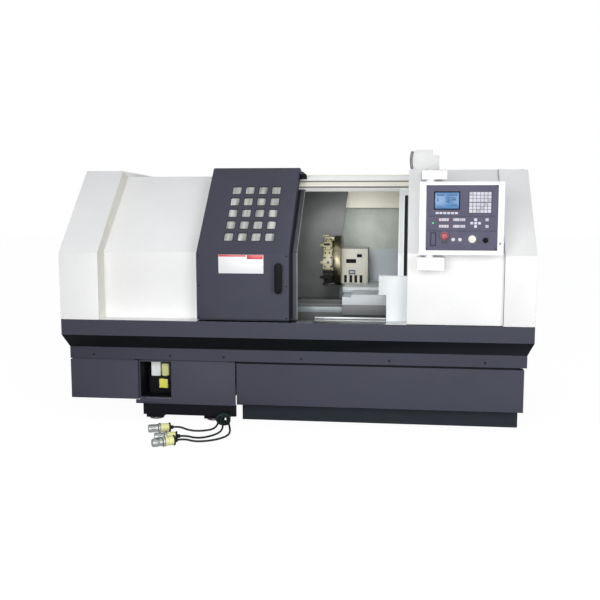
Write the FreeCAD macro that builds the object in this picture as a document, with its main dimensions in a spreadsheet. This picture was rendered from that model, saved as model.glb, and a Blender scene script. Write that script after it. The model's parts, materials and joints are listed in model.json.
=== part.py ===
"""CNC turning lathe: cast bed in a chip tray, folded sheet enclosure with a sliding door.

Axes: X runs along the spindle, Z is up and -Y is the operator's side. Heights are measured
from the floor and depths from the front plane of the enclosure, which lies at front_plane.
"""
import FreeCAD, Part
import ast
import math
import operator
import os
import re
import Sketcher

SIZES = {
    # enclosure and tray
    "front_plane": -630, "half_length": 1425, "depth": 1400, "tray_top": 644, "tray_rim": 547,
    "tray_taper": 465, "tray_bottom": 390, "taper_side": 31, "taper_front": 54, "sheet": 4,
    "kink_height": 1053, "roof": 1555, "slant_depth": 526, "recess": 112, "low_roof": 1518,
    "left_cover_end": -1181, "centre_end": -40, "jamb_end": 30, "strip_left": 133, "opening_end": 690,
    "right_front": 23, "right_kink": 1060, "right_slant_back": 549, "cabinet_start": 1243,
    # door
    "door_left": -572, "door_right": -11, "door_front": 19, "door_back": 99, "door_bottom": 652,
    "door_slant_back": 545, "door_top": 1569, "door_skin": 3, "hole_width": 58,
    "hole_height": 68, "hole_pitch": 84, "hole_rise": 99.5, "hole_left": -420, "hole_start": 102,
    "glass_thick": 4, "handle_x": -70, "handle_low": 840, "handle_high": 980,
    "handle_radius": 22, "handle_stand": 21, "handle_thick": 14,
    # bed and carriage
    "bed_left": -1150, "bed_right": 1200, "bed_floor": 394, "way_top": 700, "gap_floor": 520,
    "front_way": 340, "front_way_back": 430, "rear_way": 710, "rear_way_back": 790,
    "vee_depth": 392, "vee_half": 14.4, "slide_gap": 0.3, "centre_y": 460, "centre_z": 955,
    "saddle_left": 284, "saddle_right": 640, "saddle_top": 764, "slide_top": 782,
    "cross_left": 272, "cross_right": 615, "cross_front": 520, "cross_back": 940,
    "cross_height": 23, "turret_y": 800, "disc_left": 130, "disc_right": 203,
    "disc_radius": 150, "hub_radius": 168, "shaft_fit": 0.05, "turret_shaft": 45,
    "screw_y": 565, "screw_z": 610, "screw_radius": 16,
    # spindle, chuck and drive
    "head_left": -900, "head_right": -330, "spindle_radius": 60, "spindle_bore": 26,
    "chuck_left": -230, "chuck_right": -130, "chuck_radius": 110, "jaw_width": 22,
    "jaw_inner": 32, "jaw_outer": 104, "jaw_nose": -90, "pulley_radius": 100,
    "pulley_left": -1080, "pulley_width": 120, "motor_y": 1000, "motor_z": 820,
    "motor_radius": 110, "belt_thick": 8, "belt_width": 70,
    # tailstock
    "tail_left": 850, "tail_right": 1110, "quill_radius": 37.5, "quill_nose": 730,
    # control box
    "box_left": 752, "box_right": 1222, "box_low": 1066, "box_high": 1476, "box_depth": 100,
    "pivot_x": 812, "pivot_depth": -60, "pin_radius": 12, "plate_thick": 3,
    # leads
    "lead_diameter": 12, "gland_z": 52, "gland_front": 80,
}

OPERATORS = {ast.Add: operator.add, ast.Sub: operator.sub, ast.Mult: operator.mul,
             ast.Div: operator.truediv}

doc = FreeCAD.newDocument("TurningLathe")
sheet = doc.addObject("Spreadsheet::Sheet", "Sizes")
for row, (size_name, size) in enumerate(SIZES.items(), 1):
    sheet.set(f"A{row}", size_name)
    sheet.set(f"B{row}", str(size))
    sheet.setAlias(f"B{row}", size_name)
doc.recompute()

nodes = {}


def work_out(tree):
    """Return the number that a parsed expression of sizes stands for."""
    if isinstance(tree, ast.Constant):
        return tree.value
    if isinstance(tree, ast.Name):
        return SIZES[tree.id]
    if isinstance(tree, ast.UnaryOp):
        return -work_out(tree.operand)
    return OPERATORS[type(tree.op)](work_out(tree.left), work_out(tree.right))


def value(text):
    """Return the number that an expression such as 'roof-sheet' stands for."""
    return work_out(ast.parse(str(text), mode="eval").body)


def plus(text, number):
    """Return the expression text with a worked-out number added."""
    return f"{text}+({number:.4f})"


def deep(text):
    """Turn a depth behind the enclosure's front into a Y coordinate."""
    return f"front_plane+({text})"


def bind(item, prop, text):
    """Bind one property of item to an expression of the sheet's sizes."""
    item.setExpression(prop, re.sub(r"[a-z][a-z0-9_]*", lambda m: "Sizes." + m.group(0), str(text)))


def place(item, x, y, z):
    """Bind the three coordinates of an item's placement."""
    bind(item, "Placement.Base.x", x)
    bind(item, "Placement.Base.y", deep(y))
    bind(item, "Placement.Base.z", z)


def box(x0, x1, y0, y1, z0, z1):
    """Make a block between two X, two depths and two heights."""
    item = doc.addObject("Part::Box", "block")
    bind(item, "Length", f"({x1})-({x0})")
    bind(item, "Width", f"({y1})-({y0})")
    bind(item, "Height", f"({z1})-({z0})")
    place(item, x0, y0, z0)
    return item


def tilted_box(length, width, height, x, y, z, angle):
    """Make a block turned about its own corner line along X by angle degrees."""
    item = doc.addObject("Part::Box", "tilted_block")
    item.Placement.Rotation = FreeCAD.Rotation(FreeCAD.Vector(1, 0, 0), angle)
    bind(item, "Length", length)
    bind(item, "Width", width)
    bind(item, "Height", height)
    place(item, x, y, z)
    return item


TURN = {"X": FreeCAD.Rotation(FreeCAD.Vector(0, 1, 0), 90),
        "Y": FreeCAD.Rotation(FreeCAD.Vector(1, 0, 0), -90),
        "Z": FreeCAD.Rotation()}


def rod(axis, radius, length, x, y, z):
    """Make a cylinder that runs from a point along +X, +Y or +Z."""
    item = doc.addObject("Part::Cylinder", "rod")
    item.Placement.Rotation = TURN[axis]
    bind(item, "Radius", radius)
    bind(item, "Height", length)
    place(item, x, y, z)
    return item


def cone(axis, radius_1, radius_2, length, x, y, z):
    """Make a cone or taper that runs from a point along +X, +Y or +Z."""
    item = doc.addObject("Part::Cone", "taper")
    item.Placement.Rotation = TURN[axis]
    bind(item, "Radius1", radius_1)
    bind(item, "Radius2", radius_2)
    bind(item, "Height", length)
    place(item, x, y, z)
    return item


def outline(body, role, points, offset):
    """Draw a closed polygon on one of a body's planes, each corner bound to the sheet."""
    sketch = body.newObject("Sketcher::SketchObject", "outline")
    plane = [item for item in body.Origin.OriginFeatures if item.Role == role][0]
    sketch.AttachmentSupport = [(plane, "")]
    sketch.MapMode = "FlatFace"
    bind(sketch, ".AttachmentOffset.Base.z", offset)
    corners = [FreeCAD.Vector(value(a), value(b), 0) for a, b in points]
    count = len(corners)
    for index in range(count):
        sketch.addGeometry(Part.LineSegment(corners[index], corners[(index + 1) % count]))
    for index in range(count):
        sketch.addConstraint(Sketcher.Constraint("Coincident", index, 2, (index + 1) % count, 1))
    for index in range(count):
        for kind, text in zip(("DistanceX", "DistanceY"), points[index]):
            here = sketch.addConstraint(Sketcher.Constraint(kind, -1, 1, index, 1, value(text)))
            bind(sketch, f"Constraints[{here}]", text)
    return sketch


def side_prism(points, start, end):
    """Pad a (depth, height) outline along X from start to end."""
    body = doc.addObject("PartDesign::Body", "profile")
    moved = [(deep(a), b) for a, b in points]
    sketch = outline(body, "YZ_Plane", moved, start)
    pad = body.newObject("PartDesign::Pad", "pad")
    pad.Profile = sketch
    bind(pad, "Length", f"({end})-({start})")
    return body


def front_prism(points, start, end):
    """Pad an (X, height) outline from depth start back to depth end."""
    body = doc.addObject("PartDesign::Body", "profile")
    sketch = outline(body, "XZ_Plane", points, f"-({deep(end)})")
    pad = body.newObject("PartDesign::Pad", "pad")
    pad.Profile = sketch
    bind(pad, "Length", f"({end})-({start})")
    return body


def top_prism(points, start, end):
    """Pad an (X, depth) outline upwards from height start to height end."""
    body = doc.addObject("PartDesign::Body", "profile")
    moved = [(a, deep(b)) for a, b in points]
    sketch = outline(body, "XY_Plane", moved, start)
    pad = body.newObject("PartDesign::Pad", "pad")
    pad.Profile = sketch
    bind(pad, "Length", f"({end})-({start})")
    return body


def folded(points, thick):
    """Turn an open path of folds into the outline of a sheet, thick to the path's right."""
    spots = [(value(a), value(b)) for a, b in points]
    normals = []
    for (a, b), (c, d) in zip(spots, spots[1:]):
        run = math.hypot(c - a, d - b)
        normals.append(((d - b) / run, (a - c) / run))
    inner = []
    for index, (a, b) in enumerate(points):
        before = normals[max(index - 1, 0)]
        after = normals[min(index, len(normals) - 1)]
        spread = 1 + before[0] * after[0] + before[1] * after[1]
        shift_a = (before[0] + after[0]) / spread
        shift_b = (before[1] + after[1]) / spread
        inner.append((f"{a}+({thick})*({shift_a:.6f})", f"{b}+({thick})*({shift_b:.6f})"))
    return list(points) + inner[::-1]


def fuse(*parts):
    """Join solids into one."""
    item = doc.addObject("Part::MultiFuse", "joined")
    item.Shapes = list(parts)
    return item


def cut(base, *tools):
    """Take one or more tools out of a base."""
    item = doc.addObject("Part::Cut", "cut")
    item.Base = base
    item.Tool = tools[0] if len(tools) == 1 else fuse(*tools)
    return item


def node(name, item):
    """Name a finished piece."""
    item.Label = name
    nodes[name] = item


def lofted(sections):
    """Loft through rectangles given as (side inset, front inset, height) of the tray."""
    body = doc.addObject("PartDesign::Body", "lofted")
    sketches = []
    for side, front, height in sections:
        corners = [(f"-half_length+{side}", deep(front)), (f"half_length-({side})", deep(front)),
                   (f"half_length-({side})", deep(f"depth-({front})")),
                   (f"-half_length+{side}", deep(f"depth-({front})"))]
        sketches.append(outline(body, "XY_Plane", corners, height))
    loft = body.newObject("PartDesign::AdditiveLoft", "loft")
    loft.Profile = sketches[0]
    loft.Sections = sketches[1:]
    loft.Ruled = True
    return body


# ---------------------------------------------------------------- base and tray

def chip_tray():
    """Welded tray: upright rim, tapered skirt and a flat floor."""
    outer = lofted([("taper_side", "taper_front", "tray_bottom"),
                    ("taper_side", "taper_front", "tray_taper"),
                    ("0", "0", "tray_rim"), ("0", "0", "tray_top")])
    inner = lofted([("taper_side+sheet", "taper_front+sheet", "bed_floor"),
                    ("taper_side+sheet", "taper_front+sheet", "tray_taper"),
                    ("sheet", "sheet", "tray_rim"), ("sheet", "sheet", "tray_top+10")])
    node("chip_tray", cut(outer, inner))


def vee(half, base, lift):
    """Return the left foot, ridge and right foot of the vee way."""
    return [(f"vee_depth-{half}", base), ("vee_depth", f"{base}+{lift}"), (f"vee_depth+{half}", base)]


def bed():
    """Cast bed: one box foot with a vee way in front and a flat way behind."""
    section = [("330", "bed_floor"), ("800", "bed_floor"), ("800", "450"),
               ("rear_way_back-10", "480"), ("rear_way_back-10", "640"), ("rear_way_back", "660"),
               ("rear_way_back", "way_top"), ("rear_way", "way_top"), ("rear_way", "gap_floor"),
               ("front_way_back", "gap_floor"), ("front_way_back", "way_top")]
    section += vee("vee_half", "way_top", "vee_half")[::-1]
    section += [("front_way", "way_top"), ("front_way", "660"), ("front_way+10", "640"),
                ("front_way+10", "480"), ("330", "450")]
    node("bed", side_prism(section, "bed_left", "bed_right"))


def pedestals():
    """Two cast legs under the tray; the left one has a bay for the lubrication unit."""
    left = fuse(box("-945", "-440", "100", "1250", "60", "tray_bottom"),
                *[box(x0, x1, y0, y1, "12", "60") for x0, x1 in (("-930", "-822"), ("-560", "-452"))
                  for y0, y1 in (("110", "210"), ("1140", "1240"))],
                box("-940", "-350", "80", "100", "38", "110"))
    node("left_pedestal", cut(left, box("-946", "-740", "99", "260", "150", "388")))
    node("right_pedestal", fuse(box("850", "1180", "330", "800", "60", "tray_bottom"),
                                *[box(x0, x1, y0, y1, "12", "60")
                                  for x0, x1 in (("860", "950"), ("1080", "1170"))
                                  for y0, y1 in (("340", "430"), ("700", "790"))]))
    pads = [rod("Z", "45", "12", x, y, "0") for x in ("-876", "-506") for y in ("160", "1190")]
    pads += [rod("Z", "40", "12", x, y, "0") for x in ("905", "1125") for y in ("385", "745")]
    node("levelling_pads", fuse(*pads))


def coolant_tank():
    """Flat L-shaped tank that stands on the floor under the tray."""
    plan = [("-327", "171"), ("1362", "171"), ("1362", "310"), ("780", "310"), ("780", "1100"),
            ("-327", "1100")]
    node("coolant_tank", top_prism(plan, "0", "300"))


def skirt(name, left, right, front, low, high):
    """Front panel under the tray: folded returns at the ends and a hanging flange on top."""
    panel = box(left, right, front, f"{front}+60", low, high)
    hollow = box(f"{left}+3", f"{right}-3", f"{front}+3", f"{front}+61", f"{low}-1", f"{high}-3")
    hanger = box(f"{left}+20", f"{right}-20", f"{front}+6", f"{front}+12", high, "tray_bottom")
    return name, cut(panel, hollow), hanger


def lower_panels():
    """Three panels below the tray; the middle one has a window to the lubrication bay."""
    name, panel, hanger = skirt("lower_left_panel", "-1394", "-960", "taper_front", "140", "384")
    node(name, fuse(panel, hanger))
    name, panel, hanger = skirt("lower_right_panel", "-340", "1379", "taper_front", "122", "378")
    node(name, fuse(panel, hanger))
    plate = box("-956", "-349", "60", "74", "112", "384")
    window = box("-948", "-752", "55", "75", "154", "378")
    lip = cut(box("-952", "-748", "56", "60", "150", "382"), window)
    tab = fuse(box("-935", "-915", "57", "60", "140", "152"),
               box("-980", "-950", "60", "74", "112", "134"),
               box("-956", "-953", "74", "300", "112", "384"))
    hanging = box("-940", "-360", "66", "74", "384", "tray_bottom")
    node("lower_middle_panel", fuse(cut(plate, window), lip, tab, hanging))


def lube_unit():
    """Lubrication pump: a dark base, a motor and a clear white reservoir."""
    node("lube_unit", fuse(box("-900", "-770", "180", "260", "214", "290"),
                           box("-880", "-795", "190", "250", "290", "378"),
                           rod("Y", "24", "30", "-800", "150", "243"),
                           box("-930", "-750", "200", "260", "150", "214")))


# ---------------------------------------------------------------- enclosure

def cover_path(front, kink, back, top):
    """Return the path of a cover's front, slant and roof."""
    return [(front, "tray_top"), (front, kink), (back, top), ("depth", top)]


def end_cover(name, left, right, wall_left, wall_right, rear):
    """Closed cover of one end: a folded skin with a full outer wall and a narrow return."""
    path = cover_path("0", "kink_height", "slant_depth", "roof")[:3] + [("depth", rear)]
    skin = side_prism(folded(path, "sheet"), left, right)
    wall = side_prism(path + [("depth", "tray_top")], wall_left, f"{wall_left}+sheet")
    back = box(left, right, "depth-sheet", "depth", "tray_top", f"{rear}-sheet/2")
    inner = side_prism(folded(path, "recess+sheet"), wall_right, f"{wall_right}+sheet")
    node(name, fuse(skin, wall, back, inner))


def centre_panel():
    """Fixed panel behind the parked door, folded in one with the low roof."""
    path = cover_path("recess", "kink_height", "recess+slant_depth", "low_roof")
    panel = side_prism(folded(path, "sheet"), "left_cover_end", "centre_end")
    roof = box("centre_end", "opening_end", "recess+slant_depth", "depth",
               "low_roof-sheet", "low_roof")
    ledge = box("left_cover_end", "jamb_end", "sheet", "recess+sheet", "tray_top-sheet",
                "tray_top")
    node("centre_panel", fuse(panel, roof, ledge))


SLANT = [("recess", "kink_height"), ("recess+slant_depth", "low_roof")]
LINTEL = 127 / math.hypot(526, 465)


def slant_end(share):
    """Return the point a share of the slant's length below its top edge."""
    back = f"recess+slant_depth-slant_depth*{share:.5f}"
    height = f"low_roof-(low_roof-kink_height)*{share:.5f}"
    return back, height


def door_frame():
    """Jamb and corner guards round the doorway, the upper rail and the sill."""
    low_end = slant_end(LINTEL)
    jamb = [("recess", "tray_top"), ("recess", "kink_height"), low_end]
    node("jamb_guard", side_prism(folded(jamb, "sheet"), "centre_end", "jamb_end"))

    rim = [("566", "648"), ("opening_end", "648"), ("opening_end", "922"), ("520", "922"),
           ("520", "806"), ("566", "806")]
    hollow = [("569", "651"), ("opening_end-3", "651"), ("opening_end-3", "919"),
              ("523", "919"), ("523", "809"), ("569", "809")]
    step = cut(front_prism(rim, "108", "168"), front_prism(hollow, "111", "169"))
    foot = fuse(box("580", "680", "130", "133", "tray_top", "648"),
                box("567", "opening_end", "8", "111", "tray_top", "648"))
    upper = [("recess", "922"), ("recess", "kink_height"), low_end]
    strip = side_prism(folded(upper, "sheet"), "633", "opening_end")
    inner = side_prism(folded(upper, "60"), "633", "637")
    node("corner_guard", fuse(step, foot, strip, inner))

    top = slant_end(0)
    groove_top = slant_end(LINTEL * 50 / 127)
    groove_low = slant_end(LINTEL * 68 / 127)
    rail = side_prism(folded([low_end, top], "-5"), "door_left", "opening_end")
    upper_lip = side_prism(folded([groove_top, top], "-10"), "door_left", "opening_end")
    lower_lip = side_prism(folded([low_end, groove_low], "-8"), "door_left", "opening_end")
    lintel = side_prism(folded([low_end, top], "20"), "centre_end", "opening_end")
    trim = box("centre_end-1", "opening_end+1", "recess+slant_depth-60", "recess+slant_depth+60",
               "low_roof-sheet", "low_roof+60")
    flange = box("centre_end", "opening_end", "recess+slant_depth-8", "recess+slant_depth",
                 "low_roof-sheet-30", "low_roof-sheet")
    node("door_rail", fuse(rail, upper_lip, lower_lip, cut(lintel, trim), flange))

    ledge = box("jamb_end", "opening_end", "sheet", "105", "tray_top-4", "tray_top")
    channel = fuse(box("strip_left", "566", "105", "125", "tray_top-4", "tray_top"),
                   box("strip_left", "566", "105", "107", "tray_top-22", "652"),
                   box("strip_left", "566", "122", "125", "tray_top-22", "666"))
    node("sill_channel", fuse(ledge, channel))


def right_front_panel():
    """Panel that carries the control box, with its left return beside the doorway."""
    path = cover_path("right_front", "right_kink", "right_slant_back", "roof")
    skin = side_prism(folded(path, "sheet"), "opening_end", "cabinet_start")
    short = path[:3] + [("depth-sheet", "roof")]
    side = side_prism(folded(short, "130"), "opening_end", "opening_end+sheet")
    node("right_front_panel", fuse(skin, side))


def back_panel():
    """Rear wall of the working space."""
    node("back_panel", fuse(
        box("left_cover_end", "opening_end", "depth-sheet", "depth", "tray_top",
            "low_roof-sheet"),
        box("opening_end", "cabinet_start", "depth-sheet", "depth", "tray_top",
            "roof-sheet")))


def roof_duct():
    """Raised cable and fume duct along the roof."""
    shell = [("710", "roof"), ("710", "1652"), ("713", "1665"), ("721", "1675"), ("733", "1680"),
             ("840", "1680"), ("840", "roof")]
    tall = cut(front_prism(shell, "560", "1390"),
               box("713", "837", "563", "1387", "roof-1", "1650"),
               box("733", "837", "563", "1387", "1649", "1677"))
    low = cut(box("840", "880", "560", "1390", "roof", "1645"),
              box("843", "877", "563", "1387", "roof-1", "1642"))
    node("roof_duct", fuse(tall, low))


def rear_guards():
    """Splash guards behind the carriage and the beam above them."""
    left = [("-260", "bed_floor"), ("214", "bed_floor"), ("214", "1046"), ("267", "1431"),
            ("-260", "1431")]
    node("rear_guard_left", front_prism(left, "1130", "1133"))
    fall = [("1000", "bed_floor"), ("1000", "690"), ("1150", "1010"), ("1150", "1424")]
    node("rear_guard_right", side_prism(folded(fall, "3"), "214", "830"))
    front = box("270", "634", "1090", "1150", "1303", "1434")
    node("rear_beam", fuse(front, box("-260", "300", "1133", "1150", "1303", "1434")))


def control_brackets():
    """Two arms that carry the control box: below it, and above it from the slanted panel."""
    def reach(height):
        """Return the depth of the slanted panel at a height."""
        rise = "(right_slant_back-right_front)/(roof-right_kink)"
        return f"right_front+(({height})-right_kink)*{rise}"
    lower = box("744", "896", "-98", "right_front", "976", "1049")
    upper = side_prism([("-98", "1489"), (reach("1489"), "1489"), (reach("1538"), "1538"),
                        ("-98", "1538")], "764", "903")
    holes = [rod("Z", "pin_radius+shaft_fit", "30", "pivot_x", "pivot_depth", z)
             for z in ("1024", "1480")]
    node("control_brackets", cut(fuse(lower, upper), *holes))


# ---------------------------------------------------------------- door

SLOPE = math.degrees(math.atan2(1569 - 1053, 545 - 19))


def on_slant(along, under):
    """Return depth and height of a point on the door's slant, under its outer face."""
    run, rise = math.cos(math.radians(SLOPE)), math.sin(math.radians(SLOPE))
    back = f"door_front+({along})*{run:.6f}+({under})*{rise:.6f}"
    height = f"kink_height+({along})*{rise:.6f}-({under})*{run:.6f}"
    return back, height


def door():
    """Sliding door: folded skin with twenty window holes, side walls, glass and handle."""
    path = [("door_front", "door_bottom"), ("door_front", "kink_height"),
            ("door_slant_back", "door_top"), ("600", "1572"), ("660", "1556"), ("692", "1528")]
    cheek = path + [("628", "1530"), ("door_back", "1062"), ("door_back", "door_bottom")]
    skin = side_prism(folded(path, "door_skin"), "door_left", "door_right")
    walls = [side_prism(cheek, "door_left", "door_left+door_skin"),
             side_prism(cheek, "door_right-door_skin", "door_right")]
    foot = box("door_left", "door_right", "door_front", "door_back", "door_bottom",
               "door_bottom+door_skin")
    holes = []
    for column in range(4):
        for row in range(5):
            back, height = on_slant(f"hole_start+{row}*hole_rise", "door_skin+1")
            holes.append(tilted_box("hole_width", "hole_height", "door_skin+2",
                                    f"hole_left+{column}*hole_pitch", back, height, SLOPE))
    hook = [("door_right-3", "1549"), ("door_right+20", "1547"), ("door_right+36", "1532"),
            ("door_right+45", "1510"), ("door_right+45", "1500"), ("door_right-3", "1497")]
    node("door_panel", cut(fuse(skin, *walls, foot, front_prism(hook, "556", "592")), *holes))
    back, height = on_slant("hole_start-18", "door_skin+glass_thick")
    node("door_window", tilted_box("hole_width+3*hole_pitch+40", "hole_height+4*hole_rise+36",
                                   "glass_thick", "hole_left-20", back, height, SLOPE))
    bar_front = "door_front-handle_stand-handle_thick"
    bar = [box("handle_x-handle_radius", "handle_x+handle_radius", bar_front,
               "door_front-handle_stand", "handle_low", "handle_high")]
    bar += [rod("Y", "handle_radius", "handle_thick", "handle_x", bar_front, z)
            for z in ("handle_low", "handle_high")]
    feet = [rod("Y", "handle_radius-5", "handle_stand", "handle_x", "door_front-handle_stand", z)
            for z in ("handle_low", "handle_high")]
    node("door_handle", fuse(*bar, *feet))

    rollers = []
    share = LINTEL * 59 / 127
    top_y, top_z = slant_end(share)
    tilt = math.atan2(465, 526)
    lean = FreeCAD.Rotation(FreeCAD.Vector(1, 0, 0), math.degrees(tilt))
    for x in ("door_left+90", "door_right-90"):
        for radius, start, length in (("8.5", 5.6, "5"), ("5", 10.6, "20")):
            stud = doc.addObject("Part::Cylinder", "stud")
            stud.Placement.Rotation = lean
            bind(stud, "Radius", radius)
            bind(stud, "Height", length)
            place(stud, x, plus(top_y, -math.sin(tilt) * start), plus(top_z, math.cos(tilt) * start))
            rollers.append(stud)
    carrier = tilted_box("door_right-door_left-2*door_skin", "40", "8", "door_left+door_skin",
                         plus(top_y, -math.sin(tilt) * 30 - math.cos(tilt) * 20),
                         plus(top_z, math.cos(tilt) * 30 - math.sin(tilt) * 20),
                         math.degrees(tilt))
    node("door_rollers", fuse(carrier, *rollers))


# ---------------------------------------------------------------- carriage and turret

def saddle():
    """Saddle on the vee and flat ways, with the cross guide and the nut of the long screw."""
    low = "way_top+slide_gap"
    section = [("322", "648"), ("front_way-slide_gap", "648"), ("front_way-slide_gap", low)]
    section += vee("vee_half", low, "vee_half")
    section += [("800", low), ("800", "735"), ("960", "735"), ("960", "saddle_top"),
                ("322", "saddle_top")]
    block = side_prism(section, "saddle_left", "saddle_right")
    guide = box("340", "575", "322", "960", "saddle_top", "slide_top")
    nut = box("420", "500", "screw_y-35", "screw_y+35", "570", low)
    hole = rod("X", "screw_radius+slide_gap", "90", "415", "screw_y", "screw_z")
    node("saddle", fuse(block, guide, cut(nut, hole)))


def cross_slide():
    """Cross slide with side lips that hang over the guide."""
    low = "slide_top+slide_gap"
    plate = box("cross_left", "cross_right", "cross_front", "cross_back", low,
                "slide_top+cross_height")
    lips = [box("cross_left", "340-slide_gap", "cross_front", "cross_back", "saddle_top+4", low),
            box("575+slide_gap", "cross_right", "cross_front", "cross_back", "saddle_top+4", low)]
    node("cross_slide", fuse(plate, *lips))


def turret():
    """Turret housing with its motor, the eight-sided disc and its tool holders."""
    base = "slide_top+cross_height"
    case = box("249", "426", "730", "930", base, "1037")
    skirt_slots = [box(f"{x}-7", f"{x}+7", "729", "740", "811", "860")
                   for x in ("277", "313", "346", "381")]
    hole = rod("X", "turret_shaft+shaft_fit", "80", "248", "turret_y", "centre_z")
    cap = rod("Y", "55", "50", "340", "930", "930")
    node("turret_housing", fuse(cut(case, *skirt_slots, hole), cap))

    radius = "disc_radius"
    corners = []
    for step in range(8):
        angle = math.radians(22.5 + 45 * step)
        corners.append((f"turret_y+{radius}*({math.cos(angle):.10f})",
                        f"centre_z+{radius}*({math.sin(angle):.10f})"))
    disc = side_prism(corners, "disc_left", "disc_right")
    hub = rod("X", "hub_radius", "249-slide_gap-disc_right", "disc_right", "turret_y", "centre_z")
    shaft = rod("X", "turret_shaft", "70", "249-slide_gap", "turret_y", "centre_z")
    node("turret_disc", fuse(disc, hub, shaft))

    holders = []
    flat = value("disc_radius") * math.cos(math.radians(22.5))
    for step in range(8):
        angle = 45.0 * step
        direction = (math.cos(math.radians(angle)), math.sin(math.radians(angle)))
        holder = doc.addObject("Part::Box", "holder")
        holder.Placement.Rotation = FreeCAD.Rotation(FreeCAD.Vector(1, 0, 0), angle)
        bind(holder, "Length", "disc_right-disc_left-8")
        bind(holder, "Width", "22")
        bind(holder, "Height", "84")
        side = (-direction[1], direction[0])
        place(holder, "disc_left+4", plus("turret_y", flat * direction[0] - 42 * side[0]),
              plus("centre_z", flat * direction[1] - 42 * side[1]))
        if step % 2 == 0:
            tool = doc.addObject("Part::Box", "turning_tool")
            bind(tool, "Length", "40")
            bind(tool, "Width", "20")
            bind(tool, "Height", "16")
            tool.Placement.Rotation = holder.Placement.Rotation
            reach, along = 14, 8
        else:
            tool = doc.addObject("Part::Cylinder", "drill_socket")
            bind(tool, "Radius", "10")
            bind(tool, "Height", "26")
            tool.Placement.Rotation = FreeCAD.Rotation(FreeCAD.Vector(0, 1, 0), -90)
            reach, along = 11, 0
        shift = flat + reach
        place(tool, "disc_left-12" if step % 2 == 0 else "disc_left+5",
              plus("turret_y", shift * direction[0] - along * side[0]),
              plus("centre_z", shift * direction[1] - along * side[1]))
        holders += [holder, tool]
    node("tool_holders", fuse(*holders))


def long_screw():
    """Ball screw between the ways and the motor that turns it."""
    block = cut(box("-320", "-280", "screw_y-40", "screw_y+40", "gap_floor", "655"),
                rod("X", "screw_radius", "60", "-330", "screw_y", "screw_z"))
    screw = rod("X", "screw_radius", "bed_right+320", "-320", "screw_y", "screw_z")
    node("z_ballscrew", fuse(block, screw))
    node("z_servo", fuse(box("bed_right", "bed_right+14", "screw_y-45", "screw_y+45",
                             "screw_z-45", "screw_z+33"),
                         box("bed_right+14", "bed_right+130", "screw_y-33", "screw_y+33",
                             "screw_z-33", "screw_z+33")))


def tailstock():
    """Tailstock on the ways with its quill and live centre."""
    low = "way_top+slide_gap"
    section = [("322", "660"), ("front_way-slide_gap", "660"), ("front_way-slide_gap", low)]
    section += vee("vee_half", low, "vee_half")
    section += [("800", low), ("800", "740"), ("620", "800"), ("560", "930"), ("560", "1010"),
                ("530", "1045"), ("390", "1045"), ("360", "1010"), ("360", "800"),
                ("322", "760")]
    body = side_prism(section, "tail_left", "tail_right")
    hole = rod("X", "quill_radius+shaft_fit", "tail_right-tail_left-40", "tail_left-1",
               "centre_y", "centre_z")
    node("tailstock_body", cut(body, hole))
    barrel = rod("X", "quill_radius", "tail_left+200-(quill_nose+60)", "quill_nose+60",
                 "centre_y", "centre_z")
    centre = cone("X", "1", "26", "60", "quill_nose", "centre_y", "centre_z")
    node("quill", fuse(barrel, centre))


# ---------------------------------------------------------------- spindle and drive

def headstock():
    """Cast headstock with a front bearing cover, seated on the ways."""
    section = [("300", "way_top")] + vee("vee_half", "way_top", "vee_half")
    section += [("620", "way_top"), ("620", "1080"), ("580", "1120"), ("340", "1120"),
                ("300", "1080")]
    body = side_prism(section, "head_left", "head_right")
    cover = rod("X", "92", "24", "head_right", "centre_y", "centre_z")
    bore = rod("X", "spindle_radius+shaft_fit", "head_right-head_left+60", "head_left-10",
               "centre_y", "centre_z")
    node("headstock", cut(fuse(body, cover), bore))


def spindle():
    """Hollow spindle with its pulley, and the chuck with three jaw slots."""
    shaft = rod("X", "spindle_radius", "chuck_left+1090", "-1090", "centre_y", "centre_z")
    flange = rod("X", "85", "30", "chuck_left-30", "centre_y", "centre_z")
    wheel = rod("X", "pulley_radius", "pulley_width", "pulley_left", "centre_y", "centre_z")
    bore = rod("X", "spindle_bore", "chuck_left+1100", "-1095", "centre_y", "centre_z")
    node("spindle", cut(fuse(shaft, flange, wheel), bore))
    chuck = rod("X", "chuck_radius", "chuck_right-chuck_left", "chuck_left", "centre_y",
                "centre_z")
    hole = rod("X", "spindle_bore", "chuck_right-chuck_left+2", "chuck_left-1", "centre_y",
               "centre_z")
    slots = [jaw_block(step, "chuck_right-30", "chuck_right+1", "0", "chuck_radius+5",
                       "jaw_width/2+slide_gap/2") for step in range(3)]
    node("chuck_body", cut(chuck, hole, *slots))
    for step in range(3):
        low = jaw_block(step, "chuck_right-29.7", "jaw_nose", "jaw_inner", "jaw_inner+30",
                        "jaw_width/2")
        high = jaw_block(step, "chuck_right-29.7", "jaw_nose-18", "jaw_inner", "jaw_outer",
                         "jaw_width/2")
        node(f"jaw_{step + 1}", fuse(low, high))


def jaw_block(step, x0, x1, inner, outer, half):
    """Make a block that lies along one of the chuck's three radii."""
    angle = math.radians(90 + 120 * step)
    item = doc.addObject("Part::Box", "radial_block")
    item.Placement.Rotation = FreeCAD.Rotation(FreeCAD.Vector(1, 0, 0), math.degrees(angle))
    bind(item, "Length", f"({x1})-({x0})")
    bind(item, "Width", f"({outer})-({inner})")
    bind(item, "Height", f"2*({half})")
    back = f"({inner})*({math.cos(angle):.6f})+({half})*({math.sin(angle):.6f})"
    rise = f"({inner})*({math.sin(angle):.6f})-({half})*({math.cos(angle):.6f})"
    place(item, x0, f"centre_y+{back}", f"centre_z+{rise}")
    return item


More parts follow.
